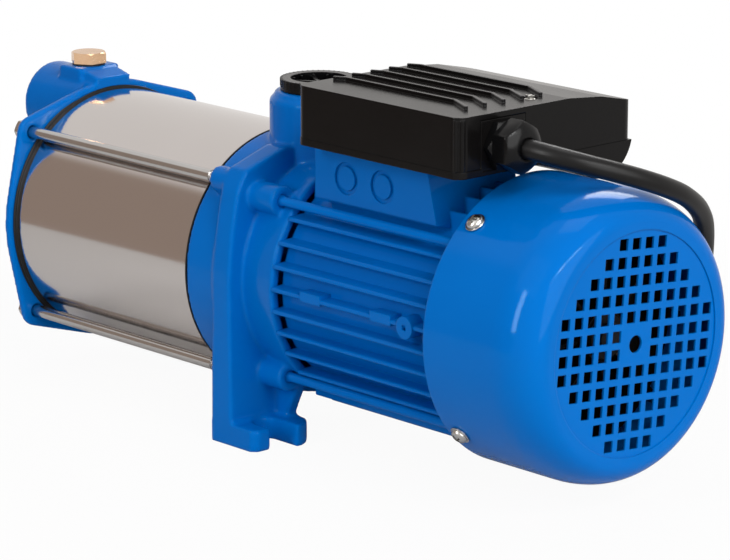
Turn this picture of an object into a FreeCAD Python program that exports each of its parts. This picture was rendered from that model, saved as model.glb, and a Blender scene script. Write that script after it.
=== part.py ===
"""Horizontal multistage pump: a stack of five impellers in a polished steel barrel, held by four tie rods
between a suction casing and a motor bracket, with a fan-cooled motor and a terminal box on top.

Frame: millimetres, +Z up, +X along the shaft towards the motor's fan. The origin lies on the floor under
the middle of the pump's length, so the suction face is at -LENGTH / 2 and the fan cover ends at +LENGTH / 2.
"""
import FreeCAD, Part
import math
import os

from FreeCAD import Vector

os.makedirs("parts", exist_ok=True)

X_AXIS = Vector(1, 0, 0)
Y_AXIS = Vector(0, 1, 0)
Z_AXIS = Vector(0, 0, 1)

# Overall driving sizes
LENGTH = 428.0
SHAFT_HEIGHT = 80.0
SUCTION_X = -LENGTH / 2
FAN_END_X = LENGTH / 2

# Clearances
FIT = 0.3
RUN = 0.05
THREAD_GAP = 0.15
WEAR_GAP = 0.4

# Barrel, tie rods and gaskets
BARREL_RADIUS = 64.3
BARREL_WALL = 1.3
DRUM_FRONT_X = -28.0
CASING_DEPTH = 54.0
REAR_GASKET_THICKNESS = 0.8
BARREL_FRONT_X = SUCTION_X + CASING_DEPTH
BARREL_BACK_X = DRUM_FRONT_X - REAR_GASKET_THICKNESS
GASKET_THICKNESS = 2.0
GASKET_LIP = 1.4
GASKET_LIP_RADIUS = 66.4
ROD_Y = 51.3
ROD_Z = 47.5
ROD_RADIUS = 3.1
ROD_THREAD_RADIUS = 2.7
ROD_THREAD_LENGTH = 16.0
ROD_RELIEF = 5.0
ROD_HEAD_AF = 10.0
ROD_HEAD_HEIGHT = 4.2
ROD_WASHER_RADIUS = 6.0
ROD_WASHER_THICKNESS = 1.0

# Suction casing
FLANGE_RADIUS = 68.5
FLANGE_THICKNESS = 8.0
FLANGE_BACK_X = BARREL_FRONT_X - GASKET_THICKNESS
FLANGE_FRONT_X = FLANGE_BACK_X - FLANGE_THICKNESS
LOBE_RADIUS = 8.3
CASING_WALL = 6.0
DOME_DEPTH = 15.0
DOME_BASE_RADIUS = 60.0
DOME_NOSE_RADIUS = 46.0
SUCTION_HEIGHT = 131.4
SUCTION_BOSS_RADIUS = 20.6
PIPE_THREAD_RADIUS = 16.2
SUCTION_THREAD_LENGTH = 19.0
SUCTION_BORE_RADIUS = 13.0
PAD_X = SUCTION_X + 30.0
PAD_LENGTH = 18.6
PAD_WIDTH = 26.4
PAD_TOP_Z = 154.5
CROWN_TOP_Z = 150.5
CROWN_WIDTH = 22.0
DRAIN_Z = 49.0
DRAIN_BOSS_RADIUS = 11.0
DRAIN_BOSS_PROUD = 4.0
DRAIN_FACE_X = FLANGE_FRONT_X - DOME_DEPTH - DRAIN_BOSS_PROUD

# Screw plugs, one on the pad and one under the casing
PLUG_AF = 17.0
PLUG_HEAD_HEIGHT = 5.6
PLUG_THREAD_RADIUS = 6.4
PLUG_THREAD_LENGTH = 8.0
PLUG_WASHER_RADIUS = 8.6
PLUG_WASHER_THICKNESS = 1.0

# Hydraulic stack
STAGES = 5
STAGE_RADIUS = 62.6
STAGE_WALL = 2.0
STAGE_PLATE = 1.8
INLET_PLATE = 3.0
SPACER_LENGTH = 11.0
RETURN_VANES = 7
PARTITION_RADIUS = 54.0
STACK_FRONT_X = FLANGE_BACK_X
STAGE_PITCH = (DRUM_FRONT_X - SPACER_LENGTH - INLET_PLATE - STACK_FRONT_X) / STAGES
RETURN_DEPTH = 0.235 * STAGE_PITCH
RETURN_SWEEP = -42.0
IMPELLER_RADIUS = 49.0
IMPELLER_SHROUD = 1.6
IMPELLER_OUTLET = 0.25 * STAGE_PITCH
IMPELLER_CLEARANCE = 2.0
IMPELLER_BLADES = 6
BLADE_SWEEP = 75.0
BLADE_THICKNESS = 1.8
EYE_RADIUS = 18.0
EYE_WALL = 1.8
HUB_RADIUS = 11.0

# Shaft
SHAFT_RADIUS = 7.0
SHAFT_NOSE_RADIUS = 5.0
SHAFT_NOSE_LENGTH = 12.0
BEARING_SEAT_RADIUS = 8.5
ROTOR_SEAT_RADIUS = 10.0
SHAFT_NUT_AF = 17.0
SHAFT_NUT_HEIGHT = 7.0

# Bracket
PLATE_FRONT_X = -7.0
PLATE_BACK_X = 6.0
PLATE_WAIST_Y = 66.0
PLATE_BULGE_Y = 63.6
DRUM_RADIUS = 64.7
CHAMBER_RADIUS = 56.0
CHAMBER_BACK_X = -13.0
EAR_FRONT_X = -18.0
EAR_RADIUS = 6.4
PLATE_EAR_RADIUS = 8.2
PORT_X = -2.0
PORT_RADIUS = 24.4
PORT_TOP_Z = 167.0
PORT_CHAMFER = 2.7
PORT_STEP = 1.6
PORT_PASSAGE_Z = 128.0
PORT_THREAD_LENGTH = 20.0
PORT_BORE_RADIUS = 13.0
RIDGE_PORT_Z = 143.2
RIDGE_PORT_Y = 30.8
BELL_FRONT_RADIUS = 57.5
BELL_BACK_RADIUS = 61.0
BELL_BACK_X = 31.4
BELL_WALL = 5.0
FOOT_SIDE_Y = 67.5
FOOT_INNER_Y = 31.5
FOOT_FRONT_X = PLATE_FRONT_X
FOOT_BACK_X = 26.0
PRONG_BACK_X = 31.0
FOOT_THICKNESS = 11.0
LEG_BASE_BACK_X = 8.4
LEG_WAIST_Z = 75.0
SLOT_Y = 50.5
SLOT_RADIUS = 6.3
SLOT_END_X = 15.0
FOOT_CHAMFER = 4.0
PRONG_CORNER = 12.0
GUSSET_BASE_X = 15.5
GUSSET_TOP_X = 23.0
GUSSET_THICKNESS = 6.5
GUSSET_Y = 35.0

# Discharge port cap
CAP_DEPTH = 14.0
CAP_WALL = 2.0
CAP_RIM_RADIUS = 19.0
CAP_RIM_HEIGHT = 5.6

# Shaft seal
SEAL_SEAT_RADIUS = 14.0
SEAL_SEAT_DEPTH = 8.0
SEAL_RING_RADIUS = 11.0
SEAL_RING_LENGTH = 5.0
SEAL_SPRING_LENGTH = 19.0
SEAL_FOLDS = 3
SEAL_FACE_X = CHAMBER_BACK_X
FLINGER_X = 4.0
FLINGER_WIDTH = 4.0
FLINGER_RADIUS = 16.0
FLINGER_CAVITY_RADIUS = 19.0

# Bearings, the same size at both ends
BEARING_RADIUS = 20.0
BEARING_WIDTH = 12.0
BEARING_RACE = 4.2
BEARING_HOUSING_WALL = 6.0
SPRING_SPACE = 1.8
FRONT_BEARING_X = 15.0
REAR_BEARING_X = FAN_END_X - 72.0

# Motor
FRAME_RADIUS = 54.0
STATOR_RADIUS = 50.0
STATOR_BORE = 30.0
STATOR_FRONT_X = 54.0
WINDING_RADIUS = 46.0
WINDING_OVERHANG = 15.0
STATOR_BACK_X = REAR_BEARING_X - WINDING_OVERHANG - 11.0
AIR_GAP = 0.4
END_RING = 6.0
FRAME_BACK_X = FAN_END_X - 60.0
COVER_FRONT_X = FAN_END_X - 68.0
COVER_RADIUS = 69.5
COVER_WALL = 1.2
FIN_TIP_RADIUS = 61.0
LOW_FIN_TIP_RADIUS = 64.0
FIN_PITCH = 11.0
UPRIGHT_FIN_PITCH = 10.5
FIN_FIRST_Z = -42.0
FIN_ROOT = 3.4
FIN_TIP = 2.2
SIDE_FINS = 8
UPRIGHT_FINS = 7
FIN_FRONT_X = BELL_BACK_X
FIN_BACK_X = COVER_FRONT_X + 1.2
BOLT_CIRCLE = COVER_RADIUS - 6.9
BOLT_TURN = 2.8
BOLT_RADIUS = 3.0
BOLT_BOSS_RADIUS = 7.5
BOLT_BOSS_BACK_X = 24.0
BOLT_FRONT_X = 9.0
BOLT_HEAD_AF = 8.0
BOLT_HEAD_HEIGHT = 4.5
EARTH_BOSS_X = 125.1
EARTH_BOSS_Z = 81.4
EARTH_BOSS_RADIUS = 5.4
EARTH_RECESS = 2.4
LUG_PLACES = (59.0, 108.0)
LUG_Z = 82.6
LUG_LENGTH = 14.0
LUG_HEIGHT = 5.0
SHIELD_THICKNESS = 6.0
SHIELD_LUG_WIDTH = 12.0
SHIELD_RADIUS = COVER_RADIUS - 11.5
SHIELD_REGISTER = 5.0

# Pedestal for the terminal box
PEDESTAL_FRONT_X = 42.0
PEDESTAL_BACK_X = 119.0
PEDESTAL_NEAR_Y = -42.0
PEDESTAL_FAR_Y = 13.0
PEDESTAL_FOOT_Z = 126.5
PEDESTAL_FLARE = 7.0
PEDESTAL_WALL = 4.0
PEDESTAL_TOP_Z = 154.2
PEDESTAL_FLOOR_Z = 139.0
LEAD_HOLE_RADIUS = 8.0
LEAD_HOLE_X = 80.0
LEAD_HOLE_Y = -14.0
BASE_SCREW_INSET = 8.0
BASE_SCREW_FRONT_X = 58.0
BASE_SCREW_LENGTH = 12.0
BASE_SCREW_HEIGHT = 2.4
BASE_SCREW_HEAD = 3.6
BASE_SCREW_SHANK = 2.0
BASE_SCREW_POST = 5.0
GASKET_BORDER = 4.0
KNOCKOUT_RADIUS = 7.9
KNOCKOUT_DISC_RADIUS = 5.9
KNOCKOUT_X = 64.0
KNOCKOUT_PITCH = 25.0
KNOCKOUT_Z = 139.0
KNOCKOUT_DEPTH = 1.2

# Fan and fan cover
SHOULDER_LENGTH = 24.0
COVER_FACE_RADIUS = 56.6
FACE_STEP_RADIUS = 53.0
FACE_STEP = 0.7
COVER_TURN = -5.0
COVER_SCREW_ANGLE = 45.0
COVER_SCREW_X = COVER_FRONT_X + 8.6
COVER_SCREW_RADIUS = 4.15
COVER_SCREW_HEIGHT = 2.4
COVER_SCREW_SHANK = 2.0
COVER_WASHER_RADIUS = 5.0
COVER_WASHER_THICKNESS = 0.9
COVER_SCREW_LENGTH = 9.0
HOLE_PITCH = 8.5
HOLE_SIDE = 5.4
CENTRE_HOLE_RADIUS = 4.1
GRILLE_ROWS = (4, 6, 8, 10, 12, 10, 10, 12, 10, 8, 6, 4)
FAN_RADIUS = COVER_RADIUS - 12.5
FAN_FRONT_X = FAN_END_X - 40.0
FAN_WIDTH = 20.0
FAN_DISC = 2.2
FAN_BLADES = 8
FAN_BLADE_THICKNESS = 2.0
FAN_HUB_RADIUS = 12.5
FAN_CLIP_THICKNESS = 1.6

# Terminal box
BOX_FRONT_X = 45.0
BOX_BACK_X = 156.0
BOX_HALF_WIDTH = 57.0
BOX_BOTTOM_Z = 155.0
BOX_SEAM_Z = 158.4
BOX_TOP_Z = 183.5
BOX_FAR_TOP_Z = 177.0
BOX_SLOPE_Y = 14.0
BOX_WALL = 2.4
BOX_CORNER = 5.5
BASE_PROUD = 0.2
FLUTE_RADIUS = 1.3
FLUTE_TURN = 17.0
TROUGH_Y = 36.0
TROUGH_Z = 163.0
TROUGH_RADIUS = 20.5
LID_RIB_WIDTH = 1.7
LID_RIB_HEIGHT = 1.7
LID_RIBS = 5
LID_RIB_PITCH = 12.0
LID_RIB_Y = -32.5
LID_RIB_HOOK = 6.0
LID_RIB_TURN_X = 128.0
LID_RIB_END = 15.0
LID_SCREW_RADIUS = 3.6
LID_SCREW_SHANK = 2.0
LID_SCREW_SINK = 2.0
LID_SCREW_HEIGHT = 2.2
LID_SCREW_INSET = 13.5
LID_SCREW_Y = 1.5
LID_POST_RADIUS = 5.5
TERMINAL_X = 63.0
TERMINAL_Y = -34.0
TERMINAL_LENGTH = 42.0
TERMINAL_WIDTH = 20.0
TERMINAL_HEIGHT = 14.0
TERMINAL_WAYS = 3
TERMINAL_WELL_RADIUS = 2.4
CAPACITOR_RADIUS = 16.0
CAPACITOR_LENGTH = 72.0
CAPACITOR_FRONT_X = 62.0
CAPACITOR_Z = TROUGH_Z - (TROUGH_RADIUS - BOX_WALL - CAPACITOR_RADIUS - RUN)
CAPACITOR_BLADE = 0.8
CAPACITOR_BLADE_SPACING = 12.0

# Cable gland
GLAND_Y = -29.0
GLAND_Z = 168.3
GLAND_AF = 22.0
GLAND_NUT_LENGTH = 16.0
GLAND_BODY_RADIUS = 8.0
GLAND_COLLAR = 4.0
LOCK_NUT_AF = 20.0
LOCK_NUT_WIDTH = 4.0
GLAND_TAB_WIDTH = 28.0
GLAND_TAB_TOP_Z = 180.5

# Power cord, its coil on the floor and its plug
CORD_RADIUS = 4.75
CORD_BORE = CORD_RADIUS + 0.05
COIL_X = 30.0
COIL_Y = 146.0
COIL_MEAN_RADIUS = 52.25
COIL_LAYERS = 2
COIL_ROWS = 2
MAINS_PLUG_X = -118.0
MAINS_PLUG_Y = 96.0
PLUG_BODY_RADIUS = 18.5
PLUG_BODY_LENGTH = 36.0
PLUG_PIN_RADIUS = 2.4
PLUG_PIN_LENGTH = 19.0
PLUG_PIN_SPACING = 19.0
PLUG_RELIEF_LENGTH = 32.0
PLUG_GRIP = 4.0

# Hand-set route of the cord: out of the gland, round the fan cover's far side and down to the coil
CORD_ROUTE = (
    (162.0, -29.0, 168.3), (172.0, -29.0, 168.3), (182.7, -27.0, 167.3), (192.4, -22.3, 165.3),
    (200.4, -15.3, 162.7), (206.3, -6.5, 159.7), (210.3, 4.5, 155.8), (211.9, 18.0, 150.7),
    (209.7, 36.6, 142.9), (201.2, 57.2, 130.2), (189.5, 71.9, 112.7), (180.2, 79.8, 90.1),
    (173.9, 85.3, 65.8), (167.3, 88.5, 45.4), (158.7, 90.1, 28.2), (145.9, 90.8, 14.2),
    (128.8, 90.6, 6.4), (109.6, 89.9, 4.75), (90.0, 89.4, 4.75), (73.0, 89.2, 4.75), (58.0, 89.0, 4.75),
)
TAIL_ROUTE = (
    (2.0, 89.0, 4.75), (-15.0, 89.2, 4.75), (-32.0, 90.4, 5.8), (-49.0, 92.8, 9.4), (-65.0, 95.0, 14.2),
    (-79.0, 96.0, 17.6), (-90.0, 96.0, 18.5),
)

CORNERS = ((-1, -1), (-1, 1), (1, -1), (1, 1))


def turned(points):
    """Solid of revolution about the shaft axis from (x, radius) corners."""
    corners = [Vector(x, 0, SHAFT_HEIGHT + radius) for x, radius in points]
    face = Part.Face(Part.makePolygon(corners + corners[:1]))
    return face.revolve(Vector(0, 0, SHAFT_HEIGHT), X_AXIS, 360)


def turned_upright(points, x, y):
    """Solid of revolution about a vertical axis from (radius, z) corners."""
    corners = [Vector(x + radius, y, z) for radius, z in points]
    face = Part.Face(Part.makePolygon(corners + corners[:1]))
    return face.revolve(Vector(x, y, 0), Z_AXIS, 360)


def domed(back_x, end_x, radius, depth, drop):
    """Round bar on the shaft axis whose edge at end_x is a quarter ellipse, depth long and drop high."""
    shoulder_x = end_x - math.copysign(depth, end_x - back_x)
    rim = Vector(shoulder_x, 0, SHAFT_HEIGHT + radius)
    nose = Vector(end_x, 0, SHAFT_HEIGHT + radius - drop)
    centre = Vector(shoulder_x, 0, SHAFT_HEIGHT + radius - drop)
    major, minor = (nose, rim) if depth > drop else (rim, nose)
    edge = Part.Arc(Part.Ellipse(major, minor, centre), 0, math.pi / 2).toShape()
    outline = [
        Part.makeLine(Vector(back_x, 0, SHAFT_HEIGHT), Vector(back_x, 0, rim.z)),
        Part.makeLine(Vector(back_x, 0, rim.z), rim),
        edge,
        Part.makeLine(nose, Vector(end_x, 0, SHAFT_HEIGHT)),
        Part.makeLine(Vector(end_x, 0, SHAFT_HEIGHT), Vector(back_x, 0, SHAFT_HEIGHT)),
    ]
    face = Part.Face(Part.Wire(Part.__sortEdges__(outline)))
    return face.revolve(Vector(0, 0, SHAFT_HEIGHT), X_AXIS, 360)


def bar(radius, x0, x1, y=0.0, z=SHAFT_HEIGHT):
    """Round bar along X."""
    return Part.makeCylinder(radius, x1 - x0, Vector(x0, y, z), X_AXIS)


def ring(outer, inner, x0, x1, y=0.0, z=SHAFT_HEIGHT):
    """Plain ring along X."""
    return bar(outer, x0, x1, y, z).cut(bar(inner, x0 - 1, x1 + 1, y, z))


def post(radius, x, y, z0, z1):
    """Upright round bar."""
    return Part.makeCylinder(radius, z1 - z0, Vector(x, y, z0), Z_AXIS)


def block(x0, x1, y0, y1, z0, z1):
    """Box between two corners."""
    return Part.makeBox(x1 - x0, y1 - y0, z1 - z0, Vector(x0, y0, z0))


def prism(corners, travel):
    """Polygon swept along a vector."""
    return Part.Face(Part.makePolygon(corners + corners[:1])).extrude(travel)


def prism_x(points, x0, x1):
    """Outline of (y, z) corners swept along X."""
    return prism([Vector(x0, y, z) for y, z in points], Vector(x1 - x0, 0, 0))


def prism_y(points, y0, y1):
    """Outline of (x, z) corners swept along Y."""
    return prism([Vector(x, y0, z) for x, z in points], Vector(0, y1 - y0, 0))


def prism_z(points, z0, z1):
    """Outline of (x, y) corners swept upwards."""
    return prism([Vector(x, y, z0) for x, y in points], Vector(0, 0, z1 - z0))


def hexagon(flats, height, base, direction):
    """Hexagonal prism with chamfered far corners, standing on base."""
    radius = flats / math.sqrt(3)
    corners = [Vector(radius * math.cos(turn), radius * math.sin(turn), 0)
               for turn in (math.radians(60 * step + 30) for step in range(6))]
    solid = prism(corners, Vector(0, 0, height))
    cone_rise = 0.6 * (radius + 1 - flats / 2)
    cap = Part.makeCone(radius + 1, flats / 2, cone_rise, Vector(0, 0, height - cone_rise))
    solid = solid.common(Part.makeCylinder(radius + 1, height - cone_rise).fuse(cap))
    solid.Placement = FreeCAD.Placement(base, FreeCAD.Rotation(Z_AXIS, direction))
    return solid


def rounded_block(x0, x1, y0, y1, z0, z1, radius):
    """Box with rounded upright edges."""
    solid = block(x0, x1, y0, y1, z0, z1)
    upright = [edge for edge in solid.Edges if abs(edge.tangentAt(edge.FirstParameter).z) > 0.9]
    return solid.makeFillet(radius, upright)


def about_shaft(shape, degrees):
    """Copy of a shape turned about the shaft axis."""
    copy = shape.copy()
    copy.rotate(Vector(0, 0, SHAFT_HEIGHT), X_AXIS, degrees)
    return copy


def mirrored(shape):
    """The same shape on the other side of the shaft."""
    return shape.mirror(Vector(0, 0, 0), Y_AXIS)


def joined(shapes):
    """One solid from touching or overlapping shapes."""
    return shapes[0].multiFuse(shapes[1:]).removeSplitter()


def less(shape, tools):
    """A shape with several others taken away."""
    return shape.cut(Part.makeCompound(tools))


def export(name, *solids):
    """Write one node, as one solid or as a group of separate ones."""
    shape = solids[0] if len(solids) == 1 else Part.makeCompound(list(solids))
    shape.exportStep("parts/" + name + ".step")


def rod_places():
    """Centres of the four tie rods as (y, z)."""
    return [(side * ROD_Y, SHAFT_HEIGHT + level * ROD_Z) for side, level in CORNERS]


def bolt_places():
    """Centres of the four long motor bolts as (y, z)."""
    places = []
    for step in range(4):
        angle = math.radians(BOLT_TURN + 45 + 90 * step)
        places.append((BOLT_CIRCLE * math.cos(angle), SHAFT_HEIGHT + BOLT_CIRCLE * math.sin(angle)))
    return places


def lobed_plate(x0, x1):
    """Round flange with a lobe round each tie rod, joined to the disc by tangent sides."""
    reach = math.hypot(ROD_Y, ROD_Z)
    spread = math.acos((FLANGE_RADIUS - LOBE_RADIUS) / reach)
    solids = [bar(FLANGE_RADIUS, x0, x1)]
    for y, z in rod_places():
        heading = math.atan2(z - SHAFT_HEIGHT, y)
        web = []
        for distance, radius, sign in ((0, FLANGE_RADIUS, 1), (0, FLANGE_RADIUS, -1),
                                       (reach, LOBE_RADIUS, -1), (reach, LOBE_RADIUS, 1)):
            side = heading + sign * spread
            web.append((distance * math.cos(heading) + radius * math.cos(side),
                        SHAFT_HEIGHT + distance * math.sin(heading) + radius * math.sin(side)))
        solids += [prism_x(web, x0, x1), bar(LOBE_RADIUS, x0, x1, y, z)]
    return joined(solids)


def suction_casing():
    """Front casing: lobed flange, domed nose, suction boss, fill pad and drain boss."""
    nose_x = FLANGE_FRONT_X - DOME_DEPTH
    drop = DOME_BASE_RADIUS - DOME_NOSE_RADIUS
    pad_half = PAD_LENGTH / 2
    outside = joined([
        lobed_plate(FLANGE_FRONT_X, FLANGE_BACK_X),
        domed(FLANGE_BACK_X, nose_x, DOME_BASE_RADIUS, DOME_DEPTH, drop),
        bar(SUCTION_BOSS_RADIUS, SUCTION_X, FLANGE_FRONT_X + 1, 0, SUCTION_HEIGHT),
        block(PAD_X - pad_half, PAD_X + pad_half, -PAD_WIDTH / 2, PAD_WIDTH / 2, SUCTION_HEIGHT, PAD_TOP_Z),
        prism_y([(PAD_X + pad_half, SUCTION_HEIGHT), (PAD_X + pad_half, PAD_TOP_Z - 1),
                 (FLANGE_BACK_X, CROWN_TOP_Z), (FLANGE_BACK_X, SUCTION_HEIGHT)],
                -CROWN_WIDTH / 2, CROWN_WIDTH / 2),
        bar(DRAIN_BOSS_RADIUS, DRAIN_FACE_X, nose_x + CASING_WALL, 0, DRAIN_Z),
    ])
    thread_end = SUCTION_X + SUCTION_THREAD_LENGTH
    plug_hole = PLUG_THREAD_RADIUS + THREAD_GAP
    cuts = [
        domed(FLANGE_BACK_X + 1, nose_x + CASING_WALL, DOME_BASE_RADIUS - CASING_WALL, DOME_DEPTH, drop),
        bar(PIPE_THREAD_RADIUS, SUCTION_X - 1, thread_end, 0, SUCTION_HEIGHT),
        bar(SUCTION_BORE_RADIUS, SUCTION_X, FLANGE_FRONT_X + 5, 0, SUCTION_HEIGHT),
        post(plug_hole, PAD_X, 0, SUCTION_HEIGHT, PAD_TOP_Z + 1),
        bar(plug_hole, DRAIN_FACE_X - 1, nose_x + 2 * CASING_WALL, 0, DRAIN_Z),
    ]
    cuts += [bar(ROD_RADIUS + FIT, FLANGE_FRONT_X - 1, FLANGE_BACK_X + 1, y, z) for y, z in rod_places()]
    return less(outside, cuts)


def screw_plug(base, direction):
    """Hexagon-headed plug whose head stands on base and whose thread points back into the casing."""
    head = hexagon(PLUG_AF, PLUG_HEAD_HEIGHT, base, direction)
    reach = PLUG_THREAD_LENGTH + PLUG_WASHER_THICKNESS
    thread = Part.makeCylinder(PLUG_THREAD_RADIUS, reach, base, direction * -1)
    return joined([head, thread])


def plug_washer(face, direction):
    """Flat sealing washer that lies on the casing under a plug's head."""
    outer = Part.makeCylinder(PLUG_WASHER_RADIUS, PLUG_WASHER_THICKNESS, face, direction)
    hole = Part.makeCylinder(PLUG_THREAD_RADIUS + RUN, PLUG_WASHER_THICKNESS, face, direction)
    return outer.cut(hole)


def barrel_gaskets():
    """The L-shaped front gasket and the thin rear one, which seal the two ends of the barrel."""
    inside = STAGE_RADIUS
    lip_back = BARREL_FRONT_X + GASKET_LIP
    lip = GASKET_LIP_RADIUS
    front = turned([(FLANGE_BACK_X, inside), (FLANGE_BACK_X, lip), (lip_back, lip), (lip_back, BARREL_RADIUS),
                    (BARREL_FRONT_X, BARREL_RADIUS), (BARREL_FRONT_X, inside)])
    rear = ring(BARREL_RADIUS + FIT, inside, BARREL_BACK_X, DRUM_FRONT_X)
    return front, rear


def tie_rods():
    """Four rods through the flange lobes into the bracket's ears, and the washers under their heads."""
    rods = []
    washers = []
    head_x = FLANGE_FRONT_X - ROD_WASHER_THICKNESS
    shank_end = EAR_FRONT_X - ROD_RELIEF
    for y, z in rod_places():
        head = hexagon(ROD_HEAD_AF, ROD_HEAD_HEIGHT, Vector(head_x, y, z), X_AXIS * -1)
        rods.append(joined([
            head,
            bar(ROD_RADIUS, head_x, shank_end, y, z),
            bar(ROD_THREAD_RADIUS, shank_end, EAR_FRONT_X + ROD_THREAD_LENGTH, y, z),
        ]))
        washers.append(ring(ROD_WASHER_RADIUS, ROD_RADIUS + FIT, head_x, FLANGE_FRONT_X, y, z))
    return rods, washers


def stage_front(number):
    """Front face of a stage, counted from 0 at the suction end."""
    return STACK_FRONT_X + INLET_PLATE + number * STAGE_PITCH


def vane(inner, outer, turn, thickness, x0, x1):
    """One vane of a ring: an arc from the inner to the outer radius that leans back by turn degrees."""
    corners = []
    steps = 4
    for side in (1, -1):
        order = range(steps + 1) if side > 0 else range(steps, -1, -1)
        for step in order:
            share = step / steps
            radius = inner + (outer - inner) * share
            angle = math.radians(turn * share) + side * thickness / 2 / radius
            corners.append((radius * math.sin(angle), SHAFT_HEIGHT + radius * math.cos(angle)))
    return prism_x(corners, x0, x1)


def stage_housing(number):
    """Cup of one stage: outer wall, partition with return vanes, and the end wall with the next eye."""
    x = stage_front(number)
    end = x + STAGE_PITCH
    end_wall = end - STAGE_PLATE
    partition = end_wall - RETURN_DEPTH
    eye = EYE_RADIUS + WEAR_GAP
    cup = turned([(x, STAGE_RADIUS), (end, STAGE_RADIUS), (end, eye), (end_wall, eye),
                  (end_wall, STAGE_RADIUS - STAGE_WALL), (x, STAGE_RADIUS - STAGE_WALL)])
    plate = ring(PARTITION_RADIUS, HUB_RADIUS + WEAR_GAP, partition - STAGE_PLATE, partition)
    first = vane(eye + 2, PARTITION_RADIUS - 1, RETURN_SWEEP, STAGE_WALL, partition - STAGE_PLATE / 2,
                 end_wall + STAGE_PLATE / 2)
    vanes = [about_shaft(first, 360 / RETURN_VANES * step) for step in range(RETURN_VANES)]
    return joined([cup, plate] + vanes)


def impeller(number):
    """Closed impeller: neck and front shroud, back shroud with hub, and swept blades between them."""
    x = stage_front(number)
    front = x + IMPELLER_CLEARANCE
    outlet = front + IMPELLER_SHROUD
    back = outlet + IMPELLER_OUTLET
    bore = SHAFT_RADIUS + RUN
    neck = EYE_RADIUS - EYE_WALL
    neck_x = x - STAGE_PLATE
    shroud = turned([(neck_x, EYE_RADIUS), (front, EYE_RADIUS), (front, IMPELLER_RADIUS),
                     (outlet, IMPELLER_RADIUS), (outlet, EYE_RADIUS), (outlet, neck), (neck_x, neck)])
    hub = turned([(x, HUB_RADIUS), (outlet, HUB_RADIUS), (back, HUB_RADIUS + 4), (back, IMPELLER_RADIUS),
                  (back + IMPELLER_SHROUD, IMPELLER_RADIUS), (back + IMPELLER_SHROUD, HUB_RADIUS),
                  (x + STAGE_PITCH, HUB_RADIUS), (x + STAGE_PITCH, bore), (x, bore)])
    first = vane(EYE_RADIUS + 1, IMPELLER_RADIUS - 0.5, BLADE_SWEEP, BLADE_THICKNESS,
                 outlet - IMPELLER_SHROUD / 2, back + IMPELLER_SHROUD / 2)
    blades = [about_shaft(first, 360 / IMPELLER_BLADES * step) for step in range(IMPELLER_BLADES)]
    return joined([shroud, hub] + blades)


def shaft():
    """Stepped motor shaft that reaches through the stack to the suction casing."""
    front_bearing_end = FRONT_BEARING_X + BEARING_WIDTH
    rear_bearing_end = REAR_BEARING_X + BEARING_WIDTH
    stack_front = stage_front(0)
    nose = stack_front - SHAFT_NUT_HEIGHT - 2
    return turned([
        (nose, 0), (nose, SHAFT_NOSE_RADIUS), (stack_front, SHAFT_NOSE_RADIUS), (stack_front, SHAFT_RADIUS),
        (PLATE_FRONT_X, SHAFT_RADIUS), (PLATE_FRONT_X, BEARING_SEAT_RADIUS),
        (front_bearing_end, BEARING_SEAT_RADIUS), (front_bearing_end, ROTOR_SEAT_RADIUS),
        (REAR_BEARING_X, ROTOR_SEAT_RADIUS), (REAR_BEARING_X, BEARING_SEAT_RADIUS),
        (rear_bearing_end + 1, BEARING_SEAT_RADIUS), (rear_bearing_end + 1, SHAFT_RADIUS),
        (FAN_FRONT_X + FAN_WIDTH + FAN_CLIP_THICKNESS + 3, SHAFT_RADIUS),
        (FAN_FRONT_X + FAN_WIDTH + FAN_CLIP_THICKNESS + 3, 0),
    ])


def shaft_sleeve():
    """Spacer sleeve between the last impeller and the seal's spring."""
    return ring(HUB_RADIUS, SHAFT_RADIUS + RUN, stage_front(STAGES), SEAL_FACE_X - SEAL_SPRING_LENGTH)


def seal_rotating():
    """Turning half of the shaft seal: face ring on a bellows that grips the shaft."""
    step = SEAL_SPRING_LENGTH - SEAL_RING_LENGTH
    start = SEAL_FACE_X - SEAL_SPRING_LENGTH
    points = [(start, SHAFT_RADIUS + RUN), (start, SEAL_RING_RADIUS)]
    for fold in range(SEAL_FOLDS):
        points += [(start + step * (fold + 0.5) / SEAL_FOLDS, SEAL_RING_RADIUS - 1.5),
                   (start + step * (fold + 1) / SEAL_FOLDS, SEAL_RING_RADIUS)]
    points += [(SEAL_FACE_X - RUN, SEAL_RING_RADIUS), (SEAL_FACE_X - RUN, SHAFT_RADIUS + RUN)]
    return turned(points)


def bearing_rings(x):
    """Outer ring with its shields, and inner ring, of a sealed ball bearing."""
    inner_outside = BEARING_SEAT_RADIUS + BEARING_RACE
    outer = ring(BEARING_RADIUS, inner_outside + FIT, x, x + BEARING_WIDTH)
    inner = ring(inner_outside, BEARING_SEAT_RADIUS, x, x + BEARING_WIDTH)
    return outer, inner


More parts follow.
